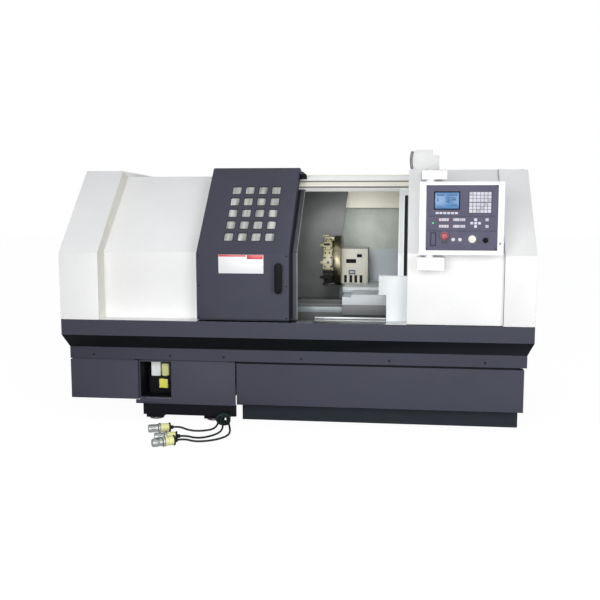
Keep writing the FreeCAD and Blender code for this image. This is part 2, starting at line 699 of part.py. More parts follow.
def drive():
    """Spindle motor on its stand, its pulley and the belt over both pulleys."""
    stand = box("-900", "-700", "940", "1060", "bed_floor", "motor_z-90")
    motor = rod("X", "motor_radius", "300", "-950", "motor_y", "motor_z")
    hole = rod("X", "25+shaft_fit", "80", "-951", "motor_y", "motor_z")
    node("spindle_motor", cut(fuse(stand, motor), hole))
    shaft = rod("X", "25", "-880-pulley_left", "pulley_left", "motor_y", "motor_z")
    wheel = rod("X", "pulley_radius", "pulley_width", "pulley_left", "motor_y", "motor_z")
    node("motor_pulley", fuse(shaft, wheel))
    node("drive_belt", cut(belt_loop("pulley_radius+slide_gap+belt_thick", "0"),
                           belt_loop("pulley_radius+slide_gap", "1")))


def belt_loop(radius, extra):
    """Make an obround round both pulley axes."""
    start = f"pulley_left+pulley_width/2-belt_width/2-{extra}"
    width = f"belt_width+2*{extra}"
    span = math.hypot(value("motor_y-centre_y"), value("motor_z-centre_z"))
    lean = math.atan2(value("motor_z-centre_z"), value("motor_y-centre_y"))
    ends = [rod("X", radius, width, start, "centre_y", "centre_z"),
            rod("X", radius, width, start, "motor_y", "motor_z")]
    band = tilted_box(width, f"{span:.4f}", f"2*({radius})", start,
                      f"centre_y+({radius})*({math.sin(lean):.6f})",
                      f"centre_z-({radius})*({math.cos(lean):.6f})", math.degrees(lean))
    return fuse(*ends, band)


# ---------------------------------------------------------------- control box

FACE = "-box_depth"


def key(x, z, width, height):
    """Make one raised key of the membrane at its middle."""
    return box(f"{x}-{width}/2", f"{x}+{width}/2", f"{FACE}-plate_thick-2",
               f"{FACE}-plate_thick", f"{z}-{height}/2", f"{z}+{height}/2")


def control_box():
    """Control box with its pivot pins, and the faceplate with screen frame and keys."""
    case = box("box_left", "box_right", FACE, "0", "box_low", "box_high")
    pins = [rod("Z", "pin_radius", "box_low-1028", "pivot_x", "pivot_depth", "1028"),
            rod("Z", "pin_radius", "30", "pivot_x", "pivot_depth", "box_high")]
    collars = [rod("Z", "24", "box_low-1049-slide_gap", "pivot_x", "pivot_depth",
                   "1049+slide_gap"),
               rod("Z", "24", "1489-slide_gap-box_high", "pivot_x", "pivot_depth", "box_high")]
    holes = [rod("Y", f"{radius}+shaft_fit", "30", x, f"{FACE}-1", z)
             for x, z, radius in CONTROL_SPOTS]
    node("control_housing", cut(fuse(case, *pins, *collars), *holes))

    plate = box("790", "1188", f"{FACE}-plate_thick", FACE, "1091", "1459")
    windows = [box("835", "974", f"{FACE}-9", f"{FACE}-1.5", "1323", "1419")]
    slot = box("819", "844", f"{FACE}-9", f"{FACE}-1", "1119", "1188")
    openings = [rod("Y", f"{radius}+shaft_fit", "30", x, f"{FACE}-9", z)
                for x, z, radius in CONTROL_SPOTS]
    raised = [key(f"846+11+{index}*18", "1301", "13", "10") for index in range(6)]
    for row in range(6):
        height = f"1410-{row}*19-{(row > 2) * 4}"
        raised += [key(f"1029+8+{column}*20.5", height, "15", "13") for column in range(6)]
    for height in ("1264", "1227"):
        raised += [key(f"868+{index}*14", height, "10", "15") for index in range(4)]
        raised += [key(f"945+{index}*11.5", height, "8", "15") for index in range(6)]
        raised.append(key("1128", height, "16", "15"))
        raised.append(key("1065", height, "11", "13"))
    raised += [key(x, "1245", "13", "11") for x in ("1048", "1082")]
    raised += [box("800", "1178", f"{FACE}-plate_thick-0.6", f"{FACE}-plate_thick", f"{z}-1",
                   f"{z}+1") for z in ("1284", "1201")]
    node("control_faceplate", fuse(cut(plate, *windows, slot, *openings), *raised))


CONTROL_SPOTS = [("894", "1173", "12"), ("943", "1152", "8"), ("980", "1152", "8"),
                 ("1048", "1155", "10"), ("1122", "1149", "12")]


def control_knobs():
    """Mushroom stop, two push buttons, the override dial and the key switch."""
    face = f"{FACE}-plate_thick"
    x, z, radius = CONTROL_SPOTS[0]
    node("emergency_stop", fuse(rod("Y", radius, "40", x, f"{face}-16", z),
                                cone("Y", "15", "21", "10", x, f"{face}-37", z),
                                rod("Y", "21", "11", x, f"{face}-27", z)))
    for name, spot in (("start_button", 1), ("stop_button", 2)):
        x, z, radius = CONTROL_SPOTS[spot]
        node(name, rod("Y", radius, "22", x, f"{face}-9", z))
    x, z, radius = CONTROL_SPOTS[3]
    dial = [rod("Y", radius, "20", x, f"{face}-6", z),
            rod("Y", "21", "6", x, f"{face}-6.3", z),
            rod("Y", "13", "14", x, f"{face}-20.3", z),
            box(f"{x}-3", f"{x}+3", f"{face}-24", f"{face}-20", f"{z}-13", f"{z}+13")]
    node("override_dial", fuse(*dial))
    x, z, radius = CONTROL_SPOTS[4]
    node("key_switch", fuse(rod("Y", radius, "20", x, f"{face}-6", z),
                            rod("Y", "15", "6", x, f"{face}-6.3", z),
                            box(f"{x}-2", f"{x}+2", f"{face}-22", f"{face}-6", f"{z}-9",
                                f"{z}+9")))


# ---------------------------------------------------------------- leads

def tube(name, route, section_area):
    """Sweep a lead along straight runs joined by tangent arcs."""
    points = [FreeCAD.Vector(x, y, z) for x, y, z in route]
    edges = []
    start = points[0]
    radii = []
    for before, corner, after in zip(points, points[1:], points[2:]):
        into = corner - before
        out = after - corner
        half_turn = into.getAngle(out) / 2
        radius = 0.45 * min(into.Length, out.Length) / math.tan(half_turn)
        reach = radius * math.tan(half_turn)
        radii.append(round(radius))
        enter = corner - into.normalize() * reach
        leave = corner + out.normalize() * reach
        middle_way = (out - into).normalize()
        centre = corner + middle_way * (radius / math.cos(half_turn))
        middle = centre - middle_way * radius
        edges.append(Part.LineSegment(start, enter).toShape())
        edges.append(Part.Arc(enter, middle, leave).toShape())
        start = leave
    edges.append(Part.LineSegment(start, points[-1]).toShape())
    spine = Part.Wire(edges)
    first = (points[1] - points[0]).normalize()
    ring = Part.Wire(Part.makeCircle(SIZES["lead_diameter"] / 2, points[0], first))
    solid = spine.makePipeShell([ring], True, False)
    print(name, "radii", radii, "volume share",
          round(solid.Volume / (spine.Length * section_area), 4),
          "length", round(spine.Length))
    item = doc.addObject("Part::Feature", name)
    item.Shape = solid
    item.Placement = FreeCAD.Placement(FreeCAD.Vector(0, SIZES["front_plane"], 0),
                                       FreeCAD.Rotation())
    node(name, item)


def lead_routes():
    """Return the three routes over the floor, chosen by hand: X, depth and height."""
    floor = SIZES["lead_diameter"] / 2
    face = SIZES["gland_front"] - 24
    height = SIZES["gland_z"]
    return {
        "1": [(-440, face, height), (-440, 6, height), (-436, -50, 24), (-450, -100, 8),
              (-500, -136, floor), (-558, -148, floor), (-606, -148, 14), (-646, -148, 30),
              (-682, -162, 30)],
        "2": [(-412, face, height), (-412, 6, height), (-404, -50, 24), (-398, -108, 8),
              (-404, -172, floor), (-430, -232, floor), (-476, -282, floor),
              (-520, -314, 14), (-556, -334, 30), (-592, -343, 30)],
        "3": [(-384, face, height), (-384, 6, height), (-368, -50, 24), (-348, -112, 8),
              (-338, -184, floor), (-350, -252, floor), (-392, -312, floor),
              (-452, -350, floor), (-506, -372, 10), (-552, -396, 30), (-588, -419, 30)],
    }


def leads():
    """Three leads from the glands on the leg's skirt, each ending in a connector."""
    area = math.pi * (SIZES["lead_diameter"] / 2) ** 2
    for number, route in lead_routes().items():
        tube(f"lead_{number}", route, area)
        connector(f"connector_{number}", route[-2], route[-1])
    collars = []
    for route in lead_routes().values():
        x = str(route[0][0])
        collars.append(rod("Y", "13", "8", x, "gland_front-8", "gland_z"))
        collars.append(rod("Y", "9", "16", x, "gland_front-24", "gland_z"))
    node("lead_glands", fuse(*collars))


def connector(name, before, nose):
    """Round industrial connector on the floor: cable end, ring, body, flange and shell."""
    start = FreeCAD.Vector(*nose)
    way = (start - FreeCAD.Vector(*before)).normalize()
    turn = FreeCAD.Rotation(FreeCAD.Vector(0, 0, 1), way)
    parts = []
    for radius, begin, end in ((12, 0, 16), (29, 16, 26), (26, 26, 74), (29.8, 74, 88),
                               (24, 88, 148)):
        item = doc.addObject("Part::Cylinder", "stage")
        item.Radius = radius
        item.Height = end - begin
        item.Placement.Rotation = turn
        place(item, *[f"({number:.4f})" for number in start + way * begin])
        parts.append(item)
    node(name, fuse(*parts))


for build in (chip_tray, bed, pedestals, coolant_tank, lower_panels, lube_unit, centre_panel,
              door_frame, right_front_panel, back_panel, roof_duct, rear_guards,
              control_brackets, door, saddle, cross_slide, turret, long_screw, tailstock,
              headstock, spindle, drive, control_box, control_knobs, leads):
    build()
end_cover("left_end_cover", "-half_length", "left_cover_end", "-half_length",
          "left_cover_end-sheet", "low_roof")
end_cover("right_end_cover", "cabinet_start", "half_length", "half_length-sheet",
          "cabinet_start", "roof")

doc.recompute()
os.makedirs("parts", exist_ok=True)
faults = [item.Label for item in doc.Objects if {"Invalid", "Error"} & set(item.State)]
for name, item in nodes.items():
    if not item.Shape.isValid() or item.Shape.Volume <= 0:
        faults.append(name)
    item.Shape.exportStep(f"parts/{name}.step")
if faults:
    raise RuntimeError(f"faulty objects: {faults}")
print(len(nodes), "nodes written")
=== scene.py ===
"""CNC turning lathe, dressed: paints, metals, seals, keys, bare plates, leads and stage.

Lengths are millimetres: X from the middle of the machine, depth behind the front of the
covers, and height above the floor. place() turns them into the frame's metres. A box is six
such numbers: its low X, depth and height, then its high ones.
"""
import contextlib
import json
import math

import bmesh
import bpy
import numpy as np
from bpy.props import FloatProperty, FloatVectorProperty, PointerProperty
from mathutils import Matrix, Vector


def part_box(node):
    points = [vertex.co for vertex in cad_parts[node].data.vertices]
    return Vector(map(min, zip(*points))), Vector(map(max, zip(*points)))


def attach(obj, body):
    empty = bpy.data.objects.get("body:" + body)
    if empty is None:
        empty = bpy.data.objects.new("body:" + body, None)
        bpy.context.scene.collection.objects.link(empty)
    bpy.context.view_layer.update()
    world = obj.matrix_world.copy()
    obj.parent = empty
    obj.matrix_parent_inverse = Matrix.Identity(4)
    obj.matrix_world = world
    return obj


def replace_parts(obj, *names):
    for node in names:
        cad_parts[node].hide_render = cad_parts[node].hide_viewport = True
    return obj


bl_info = {
    "name": "CNC Turning Lathe",
    "version": (1, 0, 0),
    "blender": (4, 5, 0),
    "location": "View3D > Sidebar > Lathe",
    "description": "Builds the surfaces and finishes of a CNC turning lathe on its fixed frame",
    "category": "Add Mesh",
}

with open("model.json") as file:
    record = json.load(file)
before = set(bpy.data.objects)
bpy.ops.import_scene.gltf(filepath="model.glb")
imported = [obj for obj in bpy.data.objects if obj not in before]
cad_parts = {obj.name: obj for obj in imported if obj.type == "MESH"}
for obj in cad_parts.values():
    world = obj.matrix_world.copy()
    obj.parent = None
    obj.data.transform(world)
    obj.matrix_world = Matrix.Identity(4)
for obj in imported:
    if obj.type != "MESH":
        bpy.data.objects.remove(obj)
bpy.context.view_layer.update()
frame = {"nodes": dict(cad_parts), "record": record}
BODY_OF = {node: body for body, members in frame["record"]["behaviour"]["bodies"].items()
           for node in members}
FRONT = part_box("chip_tray")[0][1]

RIGHT = np.array([1.0, 0, 0])
LEFT = (-1, 0, 0)
FORWARD = (0, -1, 0)
BACKWARD = (0, 1, 0)
UPWARD = (0, 0, 1)

FOLD_HEIGHT = 1053
DOOR_FRONT = 19
DOOR_SLOPE = math.atan2(1569 - FOLD_HEIGHT, 545 - DOOR_FRONT)
UP_DOOR = np.array([0, math.cos(DOOR_SLOPE), math.sin(DOOR_SLOPE)])
WALL_SLOPE = math.atan2(1518 - FOLD_HEIGHT, 526)
FACE = -103
SPINDLE_AXIS = (460, 955)
MOTOR_AXIS = (1000, 820)
SCREW_AXIS = (565, 610)
TURRET = np.array([166.5, 800, 955])
TURRET_FLAT = 150 * math.cos(math.radians(22.5))
SKIRT_SLOTS = (277, 313, 346, 381)


def place(points):
    """Turn X, depth and height in millimetres into the frame's metres."""
    return np.asarray(points, dtype=float) / 1000 + np.array([0, FRONT, 0])


def around(centre, radius, degrees):
    """Return the point at an angle on a circle about an X axis."""
    angle = math.radians(degrees)
    x, back, height = centre
    return x, back + radius * math.cos(angle), height + radius * math.sin(angle)


def on_disc(points, degrees):
    """Return points given as X from the disc's middle, out from its axis and across."""
    angle = math.radians(degrees)
    sine, cosine = math.sin(angle), math.cos(angle)
    return TURRET + np.asarray(points) @ np.array([RIGHT, (0, cosine, sine),
                                                   (0, -sine, cosine)])


def on_door(x, along, lift=0.0):
    """Return a point on the door's slant, by its way up the slant from the fold."""
    outward = np.cross(RIGHT, UP_DOOR)
    return np.array([x, DOOR_FRONT, FOLD_HEIGHT]) + along * UP_DOOR + lift * outward


def on_wall(along):
    """Return depth and height on the fixed panel's slant, by the way down from its top."""
    return 638 - along * math.cos(WALL_SLOPE), 1518 - along * math.sin(WALL_SLOPE)


# --- settings

class LatheSizes(bpy.types.PropertyGroup):
    """Sizes that a user would change."""
    edge_radius: FloatProperty(name="Edge radius", description="Rounding of folded edges",
                               default=0.0025, unit="LENGTH")
    casting_radius: FloatProperty(name="Casting radius", description="Rounding of castings",
                                  default=0.005, unit="LENGTH")
    lead_width: FloatProperty(name="Lead width", description="Thickness of the leads",
                              default=0.012, unit="LENGTH")
    screw_head: FloatProperty(name="Screw head", description="Radius of the cover screws",
                              default=0.0075, unit="LENGTH")


class LatheColours(bpy.types.PropertyGroup):
    """Colours that a user would change."""
    cover: FloatVectorProperty(name="Cover", description="Paint of the covers",
                               default=(0.81, 0.81, 0.80), subtype="COLOR", size=3)
    base: FloatVectorProperty(name="Base", description="Paint of the door and the tray",
                              default=(0.060, 0.061, 0.084), subtype="COLOR", size=3)
    # this colour only paints the shade on the sill in the doorway
    guard: FloatVectorProperty(name="Guard", description="Paint of the inner guards",
                               default=(0.115, 0.120, 0.130), subtype="COLOR", size=3)
    cream: FloatVectorProperty(name="Cream", description="Paint of the beam and the turret",
                               default=(0.76, 0.74, 0.62), subtype="COLOR", size=3)


# --- materials

def set_up(item, **settings):
    """Set several properties of an item."""
    for name, value in settings.items():
        setattr(item, name, value)


def graph(name):
    """Return a new node material with its tree and its shader."""
    material = bpy.data.materials.new(name)
    material.use_nodes = True
    return material, material.node_tree, material.node_tree.nodes["Principled BSDF"]


def feed(tree, node, inputs):
    """Set a node's inputs, or link them where the value is a socket."""
    for name, value in inputs.items():
        if isinstance(value, bpy.types.NodeSocket):
            tree.links.new(value, node.inputs[name])
        else:
            node.inputs[name].default_value = value


def add(tree, kind, output, inputs, **settings):
    """Add a shader node, set it up, feed it and return one of its outputs."""
    node = tree.nodes.new("ShaderNode" + kind)
    set_up(node, **settings)
    feed(tree, node, inputs)
    return node.outputs[output]


def noise(tree, scale, detail, stretch=(1, 1, 1)):
    """Return the value of a noise pattern on object coordinates."""
    where = add(tree, "TexCoord", "Object", {})
    mapped = add(tree, "Mapping", "Vector", {"Vector": where, "Scale": stretch})
    return add(tree, "TexNoise", "Fac", {"Vector": mapped, "Scale": scale, "Detail": detail})


def remap(tree, source, start, end, low, high):
    """Return low to high as the source goes from start to end."""
    return add(tree, "MapRange", "Result", {"Value": source, "From Min": start,
                                            "From Max": end, "To Min": low, "To Max": high})


def span(tree, source, low, high):
    """Stretch a pattern's middle values to run from low to high."""
    return remap(tree, source, 0.3, 0.7, low, high)


def cloud(tree, scale, detail, low, high, stretch=(1, 1, 1)):
    """Return a noise pattern that runs from low to high."""
    return span(tree, noise(tree, scale, detail, stretch), low, high)


def blend_colours(tree, factor, first, second):
    """Mix two colours by a pattern; either may be a colour or a socket."""
    first, second = (side if isinstance(side, bpy.types.NodeSocket) else (*side, 1)
                     for side in (first, second))
    return add(tree, "Mix", "Result", {"Factor": factor, "A": first, "B": second},
               data_type="RGBA")


def bump(tree, source, strength, distance=0.001):
    """Turn a pattern into a bumped normal."""
    return add(tree, "Bump", "Normal", {"Strength": strength, "Distance": distance,
                                        "Height": source})


def tint(colour, factor):
    """Scale a colour's brightness."""
    return tuple(min(1.0, channel * factor) for channel in colour)


def facing(tree, start, end, high):
    """Return nothing to high as the height of the surface's normal goes from start to end."""
    normal = add(tree, "NewGeometry", "Normal", {})
    return remap(tree, add(tree, "SeparateXYZ", "Z", {"Vector": normal}), start, end, 0, high)


def edge_rub(tree, width, strength):
    """Return a mask of the outer edges, where hands and cleaning rub the paint."""
    rounded = add(tree, "Bevel", "Normal", {"Radius": width}, samples=4)
    normal = add(tree, "NewGeometry", "Normal", {})
    turn = add(tree, "VectorMath", "Value", {0: rounded, 1: normal}, operation="DOT_PRODUCT")
    return remap(tree, turn, 0.99, 0.80, 0, strength)


def below(tree, height, low, high):
    """Choose between two colours by height over the floor, in metres."""
    level = add(tree, "SeparateXYZ", "Z", {"Vector": add(tree, "TexCoord", "Object", {})})
    test = add(tree, "Math", "Value", {0: level, 1: height}, operation="LESS_THAN")
    return blend_colours(tree, test, high, low)


def paint(name, colour, rough=0.38, peel=0.06, dust=0.0, rub=0.0, band=None, gloss=0.5,
          painted_underside_shade=0.0, clouding=(2.2, 0.955, 1.035)):
    """Sprayed enamel: clouding, orange peel, dust on top, painted shade below and rubbed edges.

    A band is a height and the colour below it. The clouding is its scale and
    the brightness of its darkest and lightest parts.
    """
    material, tree, shader = graph(name)
    scale, dark, light = clouding
    base = blend_colours(tree, cloud(tree, scale, 4, 0, 1), tint(colour, dark),
                         tint(colour, light))
    fine = blend_colours(tree, cloud(tree, 90, 2, 0, 0.12), base, tint(colour, 0.8))
    if dust:
        fine = blend_colours(tree, facing(tree, 0.55, 1, dust), fine, (0.42, 0.41, 0.39))
    # painted shade: faces turned down darken towards black
    if painted_underside_shade:
        fine = blend_colours(tree, facing(tree, -0.15, -0.5, painted_underside_shade), fine,
                             (0.002, 0.003, 0.004))
    if rub:
        fine = blend_colours(tree, edge_rub(tree, 0.004, rub), fine, tint(colour, 2.6))
    # below the band's height another colour: a second paint on the wall and the saddle, painted
    # shade on the tool blocks
    if band:
        fine = below(tree, band[0], band[1], fine)
    feed(tree, shader, {
        "Base Color": fine, "Roughness": cloud(tree, 11, 3, rough - 0.05, rough + 0.09),
        "Normal": bump(tree, noise(tree, 420, 2), peel), "Specular IOR Level": gloss,
        "Coat Weight": 0.2 * gloss, "Coat Roughness": 0.3})
    return material


def metal(name, colour, rough, grain=(1, 1, 1), scale=60, stain=0.25):
    """Machined metal: fine cutting marks along one way and a thin stain of oil."""
    material, tree, shader = graph(name)
    marks = noise(tree, scale, 4, grain)
    base = blend_colours(tree, span(tree, marks, 0, 1), tint(colour, 0.82), tint(colour, 1.1))
    oil = blend_colours(tree, cloud(tree, 7, 5, 0, stain), base, tint(colour, 0.45))
    feed(tree, shader, {
        "Base Color": oil, "Roughness": span(tree, marks, rough - 0.07, rough + 0.1),
        "Normal": bump(tree, marks, 0.12, 0.0004), "Metallic": 1.0})
    return material


def plastic(name, colour, rough=0.45, grain=0.12, scale=500, gloss=0.5):
    """Moulded plastic or rubber with a fine grain."""
    material, tree, shader = graph(name)
    feed(tree, shader, {
        "Specular IOR Level": gloss,
        "Base Color": blend_colours(tree, cloud(tree, 14, 3, 0, 1), tint(colour, 0.9),
                                    tint(colour, 1.08)),
        "Roughness": cloud(tree, 40, 2, rough - 0.05, rough + 0.08),
        "Normal": bump(tree, noise(tree, scale, 2), grain, 0.0006)})
    return material


def casting(name, colour, rough=0.55):
    """Painted casting: sand texture under thick paint, with oil in the hollows."""
    material, tree, shader = graph(name)
    sand = noise(tree, 160, 5)
    base = blend_colours(tree, span(tree, sand, 0, 0.5), colour, tint(colour, 0.75))
    feed(tree, shader, {
        "Base Color": blend_colours(tree, cloud(tree, 5, 5, 0, 0.35), base,
                                    tint(colour, 0.5)),
        "Roughness": span(tree, sand, rough - 0.08, rough + 0.1),
        "Normal": bump(tree, sand, 0.35)})
    return material


def clear_sheet(name):
    """Laminated sheet that lets light through; its pale colour is coolant haze in upright runs
    and, in part, a painted reflection.
    """
    material, tree, shader = graph(name)
    runs = cloud(tree, 9, 4, 0, 1, (4, 0.6, 0.4))
    feed(tree, shader, {
        "Base Color": blend_colours(tree, runs, (0.25, 0.255, 0.225), (0.72, 0.73, 0.71)),
        "Transmission Weight": 0.30, "IOR": 1.12,
        "Roughness": cloud(tree, 25, 3, 0.01, 0.06)})
    shadow = add(tree, "LightPath", "Is Shadow Ray", {})
    through = add(tree, "BsdfTransparent", "BSDF", {})
    mixed = add(tree, "MixShader", "Shader", {"Fac": shadow, 1: shader.outputs["BSDF"],
                                              2: through})
    feed(tree, tree.nodes["Material Output"], {"Surface": mixed})
    return material


def lit_screen(name, colour):
    """Backlit screen: a glow with faint rows of raster."""
    material, tree, shader = graph(name)
    glow = blend_colours(tree, cloud(tree, 900, 1, 0, 1, (0.02, 1, 1)), tint(colour, 0.9),
                         tint(colour, 1.1))
    feed(tree, shader, {"Base Color": glow, "Emission Color": glow,
                        "Emission Strength": 0.55, "Roughness": 0.25})
    return material


MATERIALS = {}


def make_materials(colours):
    """Make every finish once."""
    cover, base, guard, cream = (tuple(colour) for colour in (
        colours.cover, colours.base, colours.guard, colours.cream))
    MATERIALS.update({
        "cover": paint("cover_enamel", cover, 0.42),
        # the charcoal paint turns near black on faces that face down: painted shade
        "base": paint("charcoal_enamel", base, 0.55, dust=0.04, rub=0.15, gloss=0.06,
                      painted_underside_shade=1.0),
        # near black: painted shade on the pedestals and the lube unit under the tray, and on
        # dark strips in gaps and recesses
        "shadow_black": paint("shadow_black_enamel", (0.007, 0.007, 0.010), 0.6, gloss=0.05),
        "toe": paint("toe_enamel", (0.018, 0.022, 0.028), 0.6, dust=0.03, gloss=0.10),
        "jamb": paint("jamb_enamel", (0.064, 0.065, 0.078), 0.5, gloss=0.12),
        "guard_pale": paint("rear_guard_enamel", (0.225, 0.228, 0.232), 0.42, rub=0.05,
                            clouding=(5, 0.84, 1.13)),
        "duct": paint("duct_enamel", (0.73, 0.73, 0.72), 0.5),
        "corner": paint("corner_enamel", (0.66, 0.685, 0.69), 0.45),
        # the dark band paints the shade on the lower part of the tool blocks
        "tool_block": paint("tool_block_enamel_shaded_below", (0.37, 0.345, 0.21), 0.32, rub=0.1,
                            band=(0.905, (0.026, 0.026, 0.021))),
        # only used for the painted shade on the sill in the doorway
        "guard": paint("guard_enamel", guard, 0.45, dust=0.08, rub=0.1),
        "cream": paint("cream_enamel", cream, 0.42),
        # cream that paints the shade on the side face of the left cover's step
        "step": paint("step_side_shade_enamel", (0.76, 0.75, 0.67), 0.5),
        # dark lines that paint the shade in the rail's groove, under its lip and in the rear
        # joints
        "shade_line": paint("shade_line_enamel", (0.21, 0.20, 0.16), 0.5, gloss=0.2),
        # grey strips: a painted highlight on the jamb's hem, painted shade round the duct's end,
        # and the bay's rim
        "edge": paint("grey_strip_enamel", (0.17, 0.17, 0.18), 0.4),
        "beam": paint("beam_enamel", tint(cream, 1.28), 0.42),
        "turret": paint("turret_enamel", tint(cream, 0.51), 0.42, rub=0.03),
        "wall": paint("wall_enamel", (0.36, 0.395, 0.35), 0.35,
                      band=(1.010, (0.33, 0.375, 0.40)), clouding=(7, 0.80, 1.18)),
        "saddle": paint("saddle_enamel", (0.43, 0.46, 0.475), 0.40, rub=0.05,
                        band=(0.716, (0.17, 0.175, 0.18))),
        "box": paint("control_enamel", (0.84, 0.84, 0.85), 0.40),
        "motor": paint("motor_enamel", (0.035, 0.04, 0.05), 0.35, rub=0.1),
        "bed": casting("bed_casting", (0.155, 0.158, 0.158)),
        "head": casting("head_casting", (0.50, 0.52, 0.50)),
        "way": metal("ground_way", (0.28, 0.32, 0.33), 0.52, (1, 90, 1), 40),
        "way_side": paint("way_side_enamel", (0.24, 0.28, 0.29), 0.4),
        "steel": metal("turned_steel", (0.62, 0.63, 0.65), 0.25, (120, 1, 1), 30),
        "bright": metal("bright_strip", (0.24, 0.25, 0.255), 0.34, (1, 60, 60), 30, 0.12),
        "dark_steel": metal("oiled_steel", (0.10, 0.10, 0.105), 0.32, scale=90),
        # the tan tint paints the yellow sheen of the turret disc
        "disc": metal("steel_tan_sheen", (0.25, 0.23, 0.15), 0.34, scale=70),
        "zinc": metal("zinc_screw", (0.55, 0.56, 0.58), 0.3, scale=300, stain=0.15),
        "rubber": plastic("black_rubber", (0.010, 0.010, 0.011), 0.62, 0.2, gloss=0.15),
        "pull": plastic("pull_plastic", (0.005, 0.005, 0.007), 0.50, 0.1, gloss=0.07),
        "sheath": plastic("lead_sheath", (0.010, 0.016, 0.014), 0.45, 0.08, 300, gloss=0.2),
        "coil": plastic("coil_sheath", (0.006, 0.017, 0.014), 0.5, 0.08, 300, gloss=0.2),
        "tank": plastic("reservoir_plastic", (0.80, 0.82, 0.82), 0.35, 0.06),
        "yellow": plastic("yellow_plastic", (0.72, 0.72, 0.10), 0.40, 0.08),
        "pale_yellow": plastic("pale_yellow_plastic", (0.72, 0.73, 0.32), 0.40, 0.08),
        "silver": metal("silver_shell", (0.36, 0.39, 0.38), 0.38, stain=0.5),
        "membrane": plastic("membrane", (0.095, 0.092, 0.142), 0.48, 0.08, 700, gloss=0.15),
        "key": plastic("pale_key", (0.45, 0.44, 0.50), 0.45, 0.05),
        "key_bed": plastic("key_bed", (0.17, 0.17, 0.22), 0.5, 0.05),
        "key_light": plastic("white_key", (0.59, 0.58, 0.66), 0.45, 0.05),
        "ivory": plastic("ivory_knob", (0.80, 0.78, 0.66), 0.35, 0.03),
        "key_pink": plastic("pink_key", (0.68, 0.50, 0.54), 0.45, 0.05),
        "line": plastic("dark_line", (0.018, 0.018, 0.026), 0.5, 0.02),
        "screen": lit_screen("screen_glow", (0.042, 0.132, 0.285)),
        "screen_mark": lit_screen("screen_mark", (0.025, 0.08, 0.18)),
        "lamp": lit_screen("green_lamp", (0.15, 0.75, 0.25)),
        "red": plastic("red_plastic", (0.38, 0.045, 0.055), 0.28, 0.03),
        "white_plate": paint("bare_plate_white", (0.78, 0.78, 0.78), 0.35, 0.02),
        "red_plate": paint("bare_plate_red", (0.60, 0.04, 0.045), 0.35, 0.02),
        # the pale colour of the sheet is coolant haze and, in part, a painted reflection
        "glass": clear_sheet("door_sheet_haze_and_reflection"),
    })


NODES_WITH = {
    # the pedestals and the lube unit take the near black that paints their shade under the tray
    "bed": "bed", "head": "headstock", "shadow_black": "left_pedestal right_pedestal lube_unit",
    "dark_steel": "levelling_pads jaw_1 jaw_2 jaw_3", "disc": "turret_disc",
    "base": "chip_tray lower_left_panel lower_middle_panel lower_right_panel door_panel",
    "toe": "coolant_tank", "jamb": "jamb_guard", "corner": "corner_guard",
    "cover": "left_end_cover centre_panel right_front_panel right_end_cover door_rail "
             "back_panel",
    "bright": "sill_channel", "guard_pale": "rear_guard_left", "wall": "rear_guard_right",
    "beam": "rear_beam", "duct": "roof_duct", "box": "control_brackets control_housing",
    "motor": "spindle_motor z_servo", "rubber": "drive_belt lead_glands",
    "steel": "z_ballscrew spindle chuck_body motor_pulley quill", "glass": "door_window",
    "pull": "door_handle key_switch", "zinc": "door_rollers",
    "saddle": "saddle cross_slide tailstock_body", "turret": "turret_housing",
    "tool_block": "tool_holders", "membrane": "control_faceplate", "red": "emergency_stop",
    "key_light": "start_button stop_button", "ivory": "override_dial",
    "sheath": "lead_1 lead_2 lead_3", "silver": "connector_1 connector_2 connector_3",
}
NODE_FINISH = {node: finish for finish, nodes in NODES_WITH.items() for node in nodes.split()}


# --- surfaces

def keep(piece, body, finish, smooth=True):
    """Give a piece its finish, unless it has its own, and let it ride on its body."""
    if finish:
        piece.data.materials.append(MATERIALS[finish])
    if piece.type == "MESH":
        piece.data.polygons.foreach_set("use_smooth", [smooth] * len(piece.data.polygons))
    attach(piece, body)
    return piece


def new_object(name, data):
    """Return a new object in the scene."""
    item = bpy.data.objects.new(name, data)
    bpy.context.collection.objects.link(item)
    return item


@contextlib.contextmanager
def editing(mesh):
    """Open a mesh for work on its faces and write it back."""
    work = bmesh.new()
    work.from_mesh(mesh)
    yield work
    work.to_mesh(mesh)
    work.free()


def mesh_piece(name, points, faces, outward=False):
    """Make a mesh object at the origin from points in metres and faces."""
    mesh = bpy.data.meshes.new(name)
    mesh.from_pydata(np.asarray(points).tolist(), [], faces)
    mesh.validate()
    mesh.update()
    if outward:
        with editing(mesh) as work:
            bmesh.ops.recalc_face_normals(work, faces=work.faces)
    return new_object(name, mesh)


def grid_faces(rows, columns, ends="caps"):
    """Return the quads between rows of points, each row a ring.

    With caps a face closes each end, and in a loop the last row joins the first.
    """
    row = np.arange(rows - 1)[:, None]
    column = np.arange(columns)[None, :]
    after = (column + 1) % columns
    quads = np.stack([row * columns + column, row * columns + after,
                      (row + 1) * columns + after, (row + 1) * columns + column], axis=-1)
    faces = quads.reshape(-1, 4).tolist()
    last = (rows - 1) * columns
    if ends == "loop":
        faces += [[last + a, last + (a + 1) % columns, (a + 1) % columns, a]
                  for a in range(columns)]
    elif ends == "caps":
        faces += [list(range(columns))[::-1], list(range(last, last + columns))]
    return faces


def swept(name, rows, ends="caps", outward=True):
    """Make a piece from rows of points, each row a ring."""
    rows = place(rows)
    faces = grid_faces(*rows.shape[:2], ends)
    return mesh_piece(name, rows.reshape(-1, 3), faces, outward)


def axes_of(direction):
    """Return a unit direction and two unit vectors across it."""
    way = np.asarray(direction, dtype=float)
    way = way / np.linalg.norm(way)
    helper = np.array([0, 0, 1.0]) if abs(way[2]) < 0.9 else RIGHT
    side = np.cross(helper, way)
    side /= np.linalg.norm(side)
    return way, side, np.cross(way, side)


